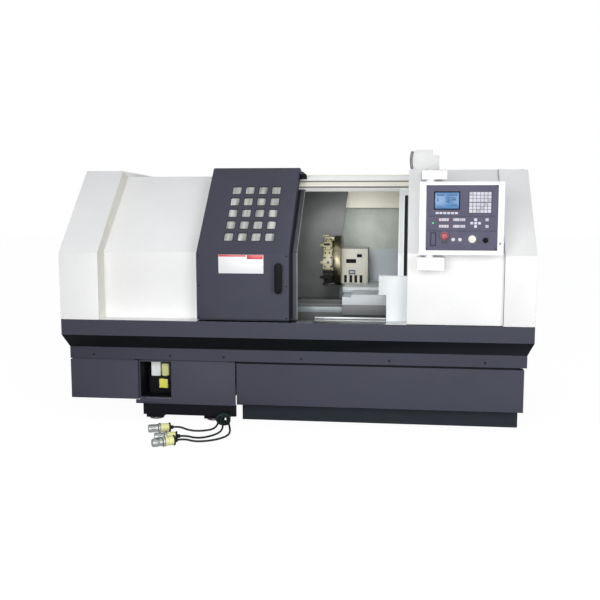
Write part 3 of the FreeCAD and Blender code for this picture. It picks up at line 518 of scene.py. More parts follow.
def turned(name, profile, origin, direction, sides=32, ends="caps"):
    """Revolve pairs of distance along and radius round a line.

    A point is origin + along * way + radius * (cos(angle) * side + sin(angle) * up).
    """
    way, side, up = axes_of(direction)
    along, radius = np.array(profile, dtype=float).T
    angle = np.linspace(0, 2 * np.pi, sides, endpoint=False)
    ring = np.cos(angle)[:, None] * side + np.sin(angle)[:, None] * up
    rows = np.asarray(origin) + along[:, None, None] * way + radius[:, None, None] * ring
    return swept(name, rows, ends, outward=False)


def block(name, low, high, radius, steps=2, turn=None):
    """Block with rounded edges; with a turn its corners are on the turret's disc.

    A point is the nearest corner of the shrunken core plus radius times a direction of the
    sphere; the jump from one corner to the next draws the flat faces.
    """
    low, high = np.minimum(low, high), np.maximum(low, high)
    centre, half = (low + high) / 2, (high - low) / 2
    radius = min(radius, half.min() * 0.98)
    quarter = np.linspace(0, np.pi / 2, steps + 1)
    around_z = np.concatenate([quarter + np.pi / 2 * corner for corner in range(4)])
    tilt = np.concatenate([quarter - np.pi / 2, quarter])[:, None]
    sign_x, sign_y, sign_z = (np.repeat(signs, steps + 1) for signs in (
        (1, -1, -1, 1), (1, 1, -1, -1), (-1, 1)))
    core = half - radius
    x = sign_x * core[0] + radius * np.cos(tilt) * np.cos(around_z)
    y = sign_y * core[1] + radius * np.cos(tilt) * np.sin(around_z)
    z = sign_z[:, None] * core[2] + radius * np.sin(tilt) + 0 * x
    rows = np.stack([x, y, z], axis=-1) + centre
    return swept(name, rows if turn is None else on_disc(rows, turn), outward=False)


def round_tube(name, path, radius, across, ends="caps", count=12):
    """Tube of constant radius: path point + radius * (cos a * side + sin a * up).

    Side is the across direction made square to the path and up completes the frame.
    """
    path = np.asarray(path, dtype=float)
    if ends == "loop":
        way = np.roll(path, -1, axis=0) - np.roll(path, 1, axis=0)
    else:
        way = np.gradient(path, axis=0)
    way /= np.linalg.norm(way, axis=1)[:, None]
    side = np.asarray(across, dtype=float) - (way @ np.asarray(across))[:, None] * way
    side /= np.linalg.norm(side, axis=1)[:, None]
    up = np.cross(side, way)
    turn = np.linspace(0, 2 * np.pi, count, False)
    rows = path[:, None] + radius * (np.cos(turn)[:, None] * side[:, None]
                                     + np.sin(turn)[:, None] * up[:, None])
    return swept(name, rows, ends)


def joined(name, pieces):
    """Join loose pieces, each with one finish or none yet, into one object."""
    mesh = bpy.data.meshes.new(name)
    finishes = []
    with editing(mesh) as work:
        for piece in pieces:
            start = len(work.faces)
            work.from_mesh(piece.data)
            finish = piece.data.materials[0] if piece.data.materials else None
            if finish not in finishes:
                finishes.append(finish)
            work.faces.ensure_lookup_table()
            for face in work.faces[start:]:
                face.material_index = finishes.index(finish)
            bpy.data.objects.remove(piece)
    for finish in filter(None, finishes):
        mesh.materials.append(finish)
    return new_object(name, mesh)


def softened(node, radius):
    """Stand in for a CAD node with the same shape, its edges rounded by radius metres."""
    piece = new_object(f"{node}_shell", frame["nodes"][node].data.copy())
    piece.data.materials.clear()
    with editing(piece.data) as work:
        bmesh.ops.remove_doubles(work, verts=work.verts, dist=1e-6)
        bmesh.ops.dissolve_limit(work, angle_limit=math.radians(1), verts=work.verts,
                                 edges=work.edges)
        bmesh.ops.triangulate(work, faces=[face for face in work.faces
                                           if len(face.verts) > 4])
    set_up(piece.modifiers.new("rounded_edges", "BEVEL"), width=radius, segments=2,
           limit_method="ANGLE", angle_limit=math.radians(28), use_clamp_overlap=True,
           harden_normals=True)
    keep(piece, BODY_OF[node], NODE_FINISH[node])
    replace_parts(piece, node)


def slab_ring(name, centre, along, outer, inner, corner, thick, steps=5):
    """Flat frame between two rounded rectangles, given by their half sizes.

    A loop point is the corner of the shrunken rectangle plus the corner radius times the
    turning direction; the loops are outer and inner, each at the back and at the front.
    """
    along = np.asarray(along, dtype=float)
    normal = np.cross(RIGHT, along)
    quarter = np.linspace(0, np.pi / 2, steps)
    turn = np.concatenate([quarter + np.pi / 2 * index for index in range(4)])
    sign = np.array([[1, 1], [-1, 1], [-1, -1], [1, -1]]).repeat(steps, axis=0)
    loops = []
    for half, radius, lift in ((outer, 1.0, 0), (outer, 1.0, thick), (inner, corner, thick),
                               (inner, corner, 0)):
        core = np.array(half, dtype=float) - radius
        flat = sign * core + radius * np.stack([np.cos(turn), np.sin(turn)], axis=1)
        loops.append(centre + flat[:, :1] * RIGHT + flat[:, 1:] * along + lift * normal)
    return swept(name, loops, "loop")


def ribbon(name, near, far, left, right, finish, body="machine"):
    """Solid between two lines of (depth, height) with as many points, from X left to right."""
    outline = np.vstack([near, far[::-1]])
    points = place([(x, *spot) for x in (left, right) for spot in outline])
    count = len(outline)
    faces = grid_faces(2, count, "open")
    for offset in (0, count):
        faces += [[offset + a, offset + a + 1, offset + count - 2 - a, offset + count - 1 - a]
                  for a in range(count // 2 - 1)]
    keep(mesh_piece(name, points, faces, True), body, finish, smooth=False)


def strip(name, path, thick, left, right, finish, lift=-0.2, body="machine"):
    """Strip of sheet from X left to right that follows a folded path of (depth, height).

    Both faces are the path moved along the mitre of its neighbouring normals, by lift and
    by lift plus thick, towards the outside of the fold.
    """
    path = np.asarray(path, dtype=float)
    run = np.diff(path, axis=0)
    run /= np.linalg.norm(run, axis=1)[:, None]
    normal = np.stack([-run[:, 1], run[:, 0]], axis=1)
    before = np.vstack([normal[:1], normal])
    after = np.vstack([normal, normal[-1:]])
    mitre = (before + after) / (1 + (before * after).sum(axis=1))[:, None]
    ribbon(name, path + mitre * lift, path + mitre * (lift + thick), left, right, finish, body)


def boxes(name, body, finish, *corners, radius=1, steps=2):
    """Make rounded blocks, each given by six values, as one piece."""
    keep(joined(name, [block("part", spot[:3], spot[3:], radius, steps)
                       for spot in corners]), body, finish)


def spun(name, profile, where, direction, sides, body, finish, ends="caps"):
    """Make one turned piece."""
    keep(turned(name, profile, where, direction, sides, ends), body, finish)


def dome(r):
    """Profile of a button head with a hexagon socket: a dome with a sunk middle."""
    return [(-1, r), (0, r), (0.25 * r, r * 0.96), (0.42 * r, r * 0.75), (0.5 * r, r * 0.45),
            (0.5 * r, r * 0.40), (0.2 * r, r * 0.38), (0.2 * r, 0.01)]


def flush(r):
    """Profile of a countersunk screw that stands a quarter of a millimetre proud."""
    return [(-1, r), (0.1, r), (0.25, 0.9 * r), (0.25, 0.5 * r), (0.12, 0.45 * r),
            (0.12, 0.01)]


def screw_head(where, direction, radius, profile=dome):
    """Revolve a screw's profile at a point."""
    return turned("screw", profile(radius), where, direction, 14)


def screws(name, places, direction, radius, body="machine", finish="zinc", profile=dome):
    """Make a row of like screws as one piece."""
    heads = [screw_head(where, direction, radius, profile) for where in places]
    keep(joined(name, heads), body, finish)


# --- operators

class LATHE_OT_finishes(bpy.types.Operator):
    """Make the finishes and give each CAD node its own"""
    bl_idname = "lathe.finishes"
    bl_label = "Finishes"

    def execute(self, context):
        make_materials(context.scene.lathe_colours)
        for node, finish in NODE_FINISH.items():
            data = frame["nodes"][node].data
            data.materials.clear()
            data.materials.append(MATERIALS[finish])
        return {"FINISHED"}


def seen_directly(tree):
    """Return one for rays from the camera, off a mirror or through a sheet, else nothing."""
    rays = tree.nodes.new("ShaderNodeLightPath").outputs
    total = rays["Is Camera Ray"]
    for ray in ("Is Glossy Ray", "Is Transmission Ray"):
        total = add(tree, "Math", "Value", {0: total, 1: rays[ray]}, use_clamp=True)
    return total


LAMPS = (
    ("key_lamp", (-0.6, -5.8, 1.5), (0, 0, 0.9), 3.0, 188, 180),
    ("fill_lamp", (3.4, -5.2, 1.5), (0.5, 0, 0.8), 3.0, 126, 180),
    ("top_lamp", (0.3, -0.6, 5.0), (0.3, -0.1, 0.8), 3.5, 19, 180),
    ("doorway_lamp", (0.34, -1.25, 1.62), (0.33, 0.30, 0.85), 0.5, 0.85, 45),
    ("inner_lamp", (0.38, 0.10, 1.40), (0.30, 0.42, 0.8), 0.2, 0.38, 180),
)
LENS = 52.3
CAMERA_SPOT = (691.8, -5088, 1443.7)
CAMERA_TURN = (90 - 7.34, 0.09, 7.07)
FLOOR_REACH = 20


class LATHE_OT_stage(bpy.types.Operator):
    """Set the camera, the pale floor and the soft studio lamps"""
    bl_idname = "lathe.stage"
    bl_label = "Stage"

    def execute(self, context):
        camera = new_object("camera", bpy.data.cameras.new("camera"))
        set_up(camera.data, lens=LENS, sensor_width=36, clip_end=100)
        set_up(camera, location=place(CAMERA_SPOT), rotation_euler=np.radians(CAMERA_TURN))
        context.scene.camera = camera
        self.floor()
        self.world(context.scene)
        for name, spot, aim, size, power, spread in LAMPS:
            lamp = new_object(name, bpy.data.lights.new(name, "AREA"))
            set_up(lamp.data, size=size, energy=power, spread=math.radians(spread))
            x, y, z = np.array(aim) - np.array(spot)
            set_up(lamp, visible_camera=False, visible_glossy=size > 1, location=spot,
                   rotation_euler=(math.atan2(math.hypot(x, y), -z), 0,
                                   math.atan2(y, x) - math.pi / 2))
        return {"FINISHED"}

    def floor(self):
        """Floor that glows where it is seen and keeps the shadow of the lathe."""
        corners = [(x * FLOOR_REACH, y * FLOOR_REACH, 0)
                   for x, y in ((-1, -1), (1, -1), (1, 1), (-1, 1))]
        floor = mesh_piece("floor", corners, [(0, 1, 2, 3)])
        material, tree, shader = graph("pale_floor")
        seen = seen_directly(tree)
        grey = blend_colours(tree, seen, (0.07, 0.07, 0.07), (0.85, 0.85, 0.85))
        feed(tree, shader, {"Roughness": 0.85, "Base Color": grey})
        share = add(tree, "Math", "Value", {0: seen, 1: 0.90}, operation="MULTIPLY")
        glow = add(tree, "Emission", "Emission", {"Strength": 1.06})
        mixed = add(tree, "MixShader", "Shader", {"Fac": share, 1: shader.outputs["BSDF"],
                                                  2: glow})
        feed(tree, tree.nodes["Material Output"], {"Surface": mixed})
        floor.data.materials.append(material)

    def world(self, scene):
        """World that is white where it is seen and dimmer as a light."""
        world = bpy.data.worlds.new("studio")
        world.use_nodes = True
        scene.world = world
        tree = world.node_tree
        back = tree.nodes["Background"]
        feed(tree, back, {"Color": (0.9, 0.93, 1.0, 1), "Strength": 0.36})
        white = add(tree, "Background", "Background", {"Color": (1, 1, 1, 1)})
        mixed = add(tree, "MixShader", "Shader", {
            "Fac": seen_directly(tree), 1: back.outputs["Background"], 2: white})
        feed(tree, tree.nodes["World Output"], {"Surface": mixed})


LEADS = {
    "1": (0.413, [(-440, 56, 52), (-440, 6, 52), (-436, -50, 24), (-450, -100, 8),
                  (-500, -136, 6), (-558, -148, 6), (-606, -148, 14), (-646, -148, 30),
                  (-682, -162, 30)]),
    "2": (0.504, [(-412, 56, 52), (-412, 6, 52), (-404, -50, 24), (-398, -108, 8),
                  (-404, -172, 6), (-430, -232, 6), (-476, -282, 6), (-520, -314, 14),
                  (-556, -334, 30), (-592, -343, 30)]),
    "3": (0.620, [(-384, 56, 52), (-384, 6, 52), (-368, -50, 24), (-348, -112, 8),
                  (-338, -184, 6), (-350, -252, 6), (-392, -312, 6), (-452, -350, 6),
                  (-506, -372, 10), (-552, -396, 30), (-588, -419, 30)]),
}
RELIEF = [(0, 9), (2, 10), (5, 9.4), (8, 10), (11, 9), (14, 9.5), (17, 8.4), (20, 8.8),
          (24, 7.2), (28, 6.4)]
CONNECTOR = (
    ("rubber", [(0, 7), (1, 12), (5, 12), (7, 10.5), (9, 12), (12, 11), (16, 13.5)]),
    ("rubber", [(16, 24), (17, 28.4), (19, 29), (24, 29), (26, 27)]),
    ("pale_yellow", [(26, 25), (28, 26), (48, 26), (50, 25), (53, 25), (55, 26), (72, 26),
                     (74, 24.5)]),
    ("silver", [(74, 27), (76, 29.8), (86, 29.8), (88, 27)]),
    ("silver", [(88, 21), (90, 24), (98, 24), (100, 23), (110, 23), (112, 24), (140, 24),
                (145, 23), (148, 20), (148, 17), (136, 16.5), (136, 0.1)]),
)


class LATHE_OT_leads(bpy.types.Operator):
    """Lay the three leads with their strain reliefs and connectors"""
    bl_idname = "lathe.leads"
    bl_label = "Leads"

    def execute(self, context):
        width = context.scene.lathe_sizes.lead_width
        for number, (length, route) in LEADS.items():
            points = place(route)
            curve = bpy.data.curves.new(f"lead_{number}_run", "CURVE")
            set_up(curve, dimensions="3D", bevel_depth=width / 2, bevel_resolution=5,
                   use_fill_caps=True)
            line = curve.splines.new("NURBS")
            line.points.add(len(points) - 1)
            line.points.foreach_set("co", np.insert(points, 3, 1, axis=1).ravel())
            set_up(line, order_u=3, use_endpoint_u=True, resolution_u=12)
            lead = keep(new_object(f"lead_{number}_run", curve), "machine", "sheath")
            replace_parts(lead, f"lead_{number}")
            spun(f"lead_{number}_relief", RELIEF, route[0], FORWARD, 24, "machine", "rubber")
            plug = self.connector(number, *np.array(route[-2:]))
        return {"FINISHED"}

    def connector(self, number, before, nose):
        """Round connector: black cable clamp and ring, yellow body, silver flange and shell."""
        pieces = []
        for finish, profile in CONNECTOR:
            piece = turned("stage", profile, nose, nose - before, 36)
            piece.data.materials.append(MATERIALS[finish])
            pieces.append(piece)
        plug = keep(joined(f"connector_{number}_shell", pieces), "machine", None)
        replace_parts(plug, f"connector_{number}")
        return plug


SHEETS = """left_end_cover right_end_cover centre_panel jamb_guard corner_guard
    right_front_panel back_panel roof_duct rear_guard_left rear_guard_right rear_beam
    door_rail sill_channel chip_tray lower_left_panel lower_middle_panel lower_right_panel
    door_panel coolant_tank""".split()
CASTINGS = """bed headstock left_pedestal right_pedestal saddle cross_slide turret_housing
    tailstock_body control_housing control_brackets door_handle""".split()
MACHINED = """spindle chuck_body jaw_1 jaw_2 jaw_3 motor_pulley quill turret_disc
    tool_holders emergency_stop start_button stop_button override_dial key_switch
    lead_glands levelling_pads lube_unit spindle_motor z_servo""".split()
MACHINED_RADIUS = 0.0012


class LATHE_OT_shells(bpy.types.Operator):
    """Round the edges of the folded covers and the castings"""
    bl_idname = "lathe.shells"
    bl_label = "Shells"

    def execute(self, context):
        sizes = context.scene.lathe_sizes
        for nodes, radius in ((SHEETS, sizes.edge_radius), (CASTINGS, sizes.casting_radius),
                              (MACHINED, MACHINED_RADIUS)):
            for node in nodes:
                softened(node, radius)
        return {"FINISHED"}


class LATHE_OT_door_trim(bpy.types.Operator):
    """Window gaskets, bare plate and screws of the sliding door"""
    bl_idname = "lathe.door_trim"
    bl_label = "Door trim"

    def execute(self, context):
        gaskets = [slab_ring("gasket", on_door(-391 + 84 * column, 136 + 99.5 * row, -3.0),
                             UP_DOOR, (28.9, 33.9), (26.6, 31.6), 7.0, 3.6)
                   for column in range(4) for row in range(5)]
        keep(joined("window_gaskets", gaskets), "door", "rubber", smooth=False)
        boxes("door_plate", "door", "white_plate", (-435, 17.6, 936, -162, 19.05, 1048),
              radius=0.6)
        boxes("door_plate_bands", "door", "red_plate", (-434, 17.2, 1036, -268, 18.2, 1047),
              (-262, 17.2, 1022, -165, 18.2, 1047), radius=0.3)
        spots = [(x, DOOR_FRONT, z) for x in (-558, -25) for z in (668, 860, 1040)]
        screws("door_screws", spots, FORWARD, 4.5, "door", "pull")
        screws("pull_screws", [(-70, 5, z) for z in (840, 980)], FORWARD, 6, "door")
        boxes("hook_cap", "door", "pull", (-10.5, 555.4, 1498, 34.6, 556.6, 1531),
              radius=0.4)
        strip("door_hem", [(DOOR_FRONT, 654), (DOOR_FRONT, 660)], 1, -571, -12, "toe", 0,
              "door")
        return {"FINISHED"}


class LATHE_OT_doorway(bpy.types.Operator):
    """Seals, rail lines, bright strips, and strips of painted shade and highlight round the
    doorway
    """
    bl_idname = "lathe.doorway"
    bl_label = "Doorway"

    def execute(self, context):
        seal_path = [(112, 923), (112, FOLD_HEIGHT), on_wall(190)]
        door_path = [(112, 650), (112, FOLD_HEIGHT), on_wall(135)]
        for name, path, thick, left, right, finish in (
                ("jamb_seal", seal_path, 4.0, 667, 687, "rubber"),
                ("jamb_bead", seal_path, 3.0, 660, 667, "cover"),
                ("jamb_trim", seal_path, 3.0, 633, 638, "cover"),
                # black strip that paints the shadow between the door's edge and the jamb, laid
                # as a brush seal
                ("door_brush_shadow", door_path, 4.0, -16, 2, "rubber"),
                # grey strip that paints the highlight on the jamb's edge
                ("jamb_hem_highlight", door_path, 1.2, 26, 30, "edge")):
            strip(name, path, thick, left, right, finish)
        # the first and the third strip paint the shade in the rail's groove and under its lip
        for name, near, far, lift, finish in (("rail_shade_line", 66, 51, 4.8, "shade_line"),
                                              ("rail_lip", 100, 72, 7.8, "cream"),
                                              ("rail_shade", 126, 108, 7.8, "shade_line"),
                                              ("rail_bead", 10, 2, 9.8, "cream")):
            strip(name, [on_wall(near), on_wall(far)], 0.6, -11, 689, finish, lift)
        boxes("sill_strips", "machine", "bright", (134, 104.6, 646, 565, 107.2, 652.2),
              (134, 121.6, 650, 565, 125.4, 666.3), radius=0.8)
        boxes("sill_shade", "machine", "guard", (31, 5, 643.8, 133, 104, 644.6),
              (133, 88, 643.8, 566, 104, 644.6), radius=0.3)
        boxes("way_front", "machine", "way_side", (-329, 339, 664, 1199, 340.4, 699),
              radius=0.3)
        boxes("way_strips", "machine", "way", (-327, 341, 699.9, 1199, 376, 700.5),
              (-327, 408, 699.9, 1199, 429, 700.5), (-327, 711, 699.9, 1199, 789, 700.4),
              radius=0.2)
        spots = [(584, 108, 662), (676, 108, 662), (676, 108, 908), (534, 108, 908)]
        screws("guard_screws", spots, FORWARD, 5, "machine", "cover")
        return {"FINISHED"}


class LATHE_OT_cover_trim(bpy.types.Operator):
    """Painted shade strips (duct seal, seams, step side, door track, panel gap) and screws of
    the covers and the panels under the tray
    """
    bl_idname = "lathe.cover_trim"
    bl_label = "Cover trim"

    def execute(self, context):
        # grey tube at the duct's rounded end that paints its shade, laid as a seal
        path = [(709 - 6 * math.sin(math.pi * share) + 10 * max(0, share - 0.75), 556,
                 1561 + 110 * share) for share in np.linspace(0, 1, 14)]
        keep(round_tube("duct_seal_shade", path, 9, BACKWARD), "machine", "edge")
        head = context.scene.lathe_sizes.screw_head * 1000
        spots = [(x, 54, 417) for x in (-1240, -753, -418, 60, 590, 1152)]
        screws("tray_screws", spots, FORWARD, head, "machine", "toe")
        self.rear(head)
        # dark seam strip that paints the shadow in the seam
        strip("cabinet_seam_shadow", [(0, 648), (0, FOLD_HEIGHT), (526, 1555), (1396, 1555)], 0.5,
              1243.2, 1245.6, "toe", -0.1)
        # cream ribbon that paints the shade on the side of the left cover's step
        ribbon("step_side_shade", np.array([(0.6, 644), (0.6, FOLD_HEIGHT), (526, 1554)]),
               np.array([(111, 644), (111, 1052), (637, 1517)]), -1180.2, -1179.4, "step")
        # a real door track, painted near black for the shadow under the door
        boxes("door_track", "machine", "shadow_black", (-572, 4.5, 642.5, 30, 111, 644.2),
              radius=0.3)
        # black strip that paints the shade in the gap above the lower panels
        boxes("panel_gap_shade", "machine", "shadow_black", (-320, 59.2, 378.5, 1359, 60.2, 391),
              radius=0.3)
        spots = [(x, y, 1555) for x in (1265, 1402) for y in (600, 1000, 1370)]
        spots += [(x, y, 1555 - (y - 526) * 37 / 874)
                  for x in (-1400, -1205) for y in (600, 1000, 1370)]
        screws("roof_screws", spots, UPWARD, head)
        return {"FINISHED"}

    def rear(self, head):
        """Joint lines painted dark for the shadow in the joints, and countersunk screws of the
        rear wall, the end walls and the duct.
        """
        spots = [(x, 1400, z) for x in (-1155, -950, -910, -490, -450, -10, 30, 430, 470, 790,
                                        830, 1218) for z in (670, 1080, 1490)]
        screws("rear_screws", spots, BACKWARD, head, profile=flush)
        # dark lines that paint the shadow gaps of the joints
        joints = [(x - 1, 1399.5, 646, x + 1, 1400.15, 1516) for x in (-930, -470, 10, 450, 810)]
        for y in (835, 1115):
            joints += [(734, y - 1, 1679.5, 839, y + 1, 1680.15),
                       (879.5, y - 1, 1557, 880.15, y + 1, 1644),
                       (709.85, y - 1, 1557, 710.5, y + 1, 1650)]
        boxes("panel_joint_shadows", "machine", "shade_line", *joints, radius=0.1, steps=1)
        wall = [(60, 668), (480, 668), (920, 668), (1350, 668), (60, 1030), (560, 1505),
                (950, 1505), (1350, 1485)]
        for name, x, way in (("left_wall_screws", -1425, LEFT),
                             ("right_wall_screws", 1425, RIGHT)):
            screws(name, [(x, *spot) for spot in wall], way, head, profile=flush)
        screws("duct_screws", [(880, y, 1570) for y in (590, 1360)], RIGHT, 5)


KEY_FINISH = {"w": "key_light", "g": "key", "p": "key_pink"}
# Each row of keys: first X, step, height, a key's width and height, and their finishes.
KEY_ROWS = (
    (851, 21.3, 1301, 17, 12, "wwwwww"),
    (1037, 20.5, 1410, 17.5, 16.5, "gwwwww"), (1037, 20.5, 1391, 17.5, 16.5, "wwwwww"),
    (1037, 20.5, 1372, 17.5, 16.5, "wwwwwg"), (1037, 20.5, 1349, 17.5, 16.5, "wwwwgw"),
    (1037, 20.5, 1330, 17.5, 16.5, "wwwgww"), (1037, 20.5, 1311, 17.5, 16.5, "wwgwww"),
    (868, 14, 1264, 12, 16, "pwwp"), (945, 11.5, 1264, 10, 16, "gwwgww"),
    (1128, 0, 1264, 18, 17, "g"), (1065, 0, 1264, 16, 16, "w"),
    (868, 14, 1227, 12, 16, "pwwp"), (945, 11.5, 1227, 10, 16, "gwwgww"),
    (1128, 0, 1227, 18, 17, "g"), (1065, 0, 1227, 16, 16, "w"),
    (1044, 21, 1245, 16, 14, "www"),
)


def face_boxes(name, finish, *corners, radius=0.3, steps=2):
    """Make plates on the control face.

    Each is a low X and height, a high X and height, and two distances behind the face.
    """
    boxes(name, "control_box", finish, *[(x, FACE + near, z, far_x, FACE + far, far_z)
                                         for x, z, far_x, far_z, near, far in corners],
          radius=radius, steps=steps)


def face_ring(name, x, z, outer, inner, corner, thick, finish, back=FACE):
    """Rounded frame on the control face."""
    keep(slab_ring(name, (x, back, z), UPWARD, outer, inner, corner, thick),
         "control_box", finish, smooth=False)


def face_turned(name, profile, x, z, sides, finish="bright", back=FACE):
    """Turned piece on the control face."""
    spun(name, profile, (x, back, z), FORWARD, sides, "control_box", finish)


class LATHE_OT_control_face(bpy.types.Operator):
    """Screen, key caps, lamps and rings of the control face"""
    bl_idname = "lathe.control_face"
    bl_label = "Control face"

    def execute(self, context):
        caps = []
        for x, step, z, width, height, letters in KEY_ROWS:
            for index, letter in enumerate(letters):
                left = x + step * index - width / 2
                cap = block("cap", (left, FACE - 3.4, z - height / 2),
                            (left + width, FACE - 1.6, z + height / 2), 0.9)
                cap.data.materials.append(MATERIALS[KEY_FINISH[letter]])
                caps.append(cap)
        keep(joined("key_caps", caps), "control_box", None)
        face_boxes("screen", "screen", (838, 1326, 971, 1416, -0.6, 1.0), radius=0.8)
        face_ring("screen_bezel", 904.5, 1371, (72, 51), (66.5, 45), 3.0, 2.2, "pull")
        marks = ((848, 1398, 890, 1408), (906, 1398, 960, 1408), (850, 1368, 858, 1388),
                 (900, 1362, 918, 1388), (924, 1372, 954, 1388), (930, 1340, 960, 1350),
                 (850, 1334, 880, 1339))
        face_boxes("screen_marks", "screen_mark", *[(*mark, -0.9, -0.5) for mark in marks],
                   radius=0.2, steps=1)
        face_boxes("keypad_bed", "key_bed", (1027, 1302, 1149, 1420, -0.9, -0.1))
        face_ring("keypad_frame", 1088, 1361, (66, 62), (63, 59), 3.0, 0.8, "line")
        face_boxes("face_lines", "line", *[(800, z - 1.3, 1178, z + 1.3, -0.95, -0.5)
                                           for z in (1284, 1201)], radius=0.2, steps=1)
        face_turned("ready_lamp", [(-0.5, 4.4), (1.6, 4.4), (2.4, 3.0), (2.6, 0.01)],
                    829, 1245, 16, "lamp")
        face_turned("stop_ring", [(0, 12.3), (0, 24), (1.2, 24.5), (2.4, 24), (2.4, 12.3)],
                    894, 1173, 40)
        face_boxes("stop_plate", "line", (878, 1132, 912, 1144, -0.9, -0.1))
        for name, x in (("start_ring", 943), ("stop_button_ring", 980)):
            face_turned(name, [(0, 8.3), (0, 12), (3, 12), (4, 11), (4, 8.3)], x, 1152, 28)
        ticks = []
        for turn in np.radians(np.arange(-150, 151, 30)):
            where = (1048 + 27 * np.sin(turn), FACE - 0.35, 1155 + 27 * np.cos(turn))
            ticks.append(turned("tick", [(0, 1.3), (0.5, 1.3), (0.6, 0.01)], where, FORWARD, 8))
        keep(joined("dial_ticks", ticks), "control_box", "key_light")
        face_ring("slot_frame", 831.5, 1153.5, (15.5, 37.5), (12.3, 34.2), 2.0, 1.6, "pull")
        corners = [(x, FACE, z) for x in (797, 1181) for z in (1098, 1452)]
        screws("face_screws", corners, FORWARD, 3.5, "control_box", "pull")
        face_turned("box_lock", [(-0.5, 7), (1.2, 7), (2, 6), (2, 2.6), (1, 2.5), (1, 0.01)],
                    1203, 1131, 24, back=-105)
        face_ring("box_frame", 987, 1271, (235, 205), (201, 186), 4.0, 5.0, "box", -100)
        boxes("box_rear_plate", "control_box", "box", (782, -1, 1096, 1192, 2, 1446),
              radius=1.2)
        spots = [(x, 2, z) for x in (796, 987, 1178) for z in (1110, 1271, 1432)]
        screws("rear_plate_screws", spots, BACKWARD, 4, "control_box")
        for name, z, way in (("top_hinge_cap", 1538, 1), ("low_hinge_cap", 976, -1)):
            spun(name, [(-1, 20), (3, 20), (5, 18), (6, 14), (6, 0.01)], (812, -60, z),
                 (0, 0, way), 36, "machine", "box")
        return {"FINISHED"}


class LATHE_OT_turret_trim(bpy.types.Operator):
    """Screws, plate and window of the turret; clamps, wedges and blocks round its disc"""
    bl_idname = "lathe.turret_trim"
    bl_label = "Turret trim"

    def execute(self, context):
        profile = [(-8, 4.2), (-3, 4.2), (-3, 6.4), (1, 6.6), (4, 5.8), (4, 3)]
        bolts = [turned("bolt", profile, (x, 732, z), FORWARD, 14)
                 for x in SKIRT_SLOTS for z in (824, 847)]
        keep(joined("skirt_bolts", bolts), "cross_slide", "pull")
        boxes("skirt_recesses", "cross_slide", "rubber", *[
            (x - 9.6, 729.7, 812, x + 9.6, 740.3, 862) for x in SKIRT_SLOTS], radius=0.3)
        for name, finish, corners, radius, steps in (
                ("turret_plate", "pull", (281, 728.4, 943, 348, 730.3, 970), 0.8, 2),
                ("turret_window", "pull", (298, 728.2, 868, 343, 730.3, 896), 0.8, 2),
                ("turret_pane", "way", (303, 727.9, 873, 338, 728.5, 891), 0.4, 2),
                ("turret_label", "pull", (353, 728.6, 982, 387, 730.2, 1003), 0.8, 4)):
            boxes(name, "cross_slide", finish, corners, radius=radius, steps=steps)
        clamps, wedges, blocks, bolts = [], [], [], []
        for degrees in range(0, 360, 45):
            clamps += [self.bolt(x, TURRET_FLAT + 22, across, degrees, 6)
                       for x in (-20, 20) for across in (-30, 30)]
            clamps += [screw_head(on_disc((-32.5, TURRET_FLAT + 9, across), degrees), LEFT, 5.5)
                       for across in (-30, -10, 10, 30)]
            wedges += [block("wedge", low, high, 1, turn=degrees) for low, high in (
                ((-34, TURRET_FLAT + 6, -34), (-27, TURRET_FLAT + 22.6, -24)),
                ((-34, TURRET_FLAT + 6, 24), (-27, TURRET_FLAT + 22.6, 34)),
                ((-31, TURRET_FLAT + 22, -9), (9, TURRET_FLAT + 24.4, 9)),
                ((24, TURRET_FLAT + 2, -36), (33, TURRET_FLAT + 23.4, 36)))]
            blocks.append(block("block", (-30, 132, -20), (24, 157, 20), 2,
                                turn=degrees + 22.5))
            bolts += [self.bolt(x, 157, 0, degrees + 22.5, 6.5) for x in (-18, 10)]
        for name, pieces, finish in (("tool_clamps", clamps, "dark_steel"),
                                     ("tool_wedges", wedges, "dark_steel"),
                                     ("corner_blocks", blocks, "tool_block"),
                                     ("corner_bolts", bolts, "dark_steel")):
            keep(joined(name, pieces), "turret", finish)
        centre = (130, *TURRET[1:])
        face = [screw_head(around(centre, 100, degrees), LEFT, 8)
                for degrees in range(0, 360, 45)]
        hub = [(-1, 60), (3, 60), (5, 56), (5, 30), (8, 28), (8, 0.01)]
        face.append(turned("hub", hub, centre, LEFT, 48))
        for piece in face:
            piece.data.materials.append(MATERIALS["steel" if piece is face[-1] else "zinc"])
        keep(joined("disc_face", face), "turret", None)
        return {"FINISHED"}

    def bolt(self, x, reach, across, degrees, radius):
        """Return a screw that points away from the disc's axis."""
        out = on_disc((0, 1, 0), degrees) - TURRET
        return screw_head(on_disc((x, reach, across), degrees), out, radius)


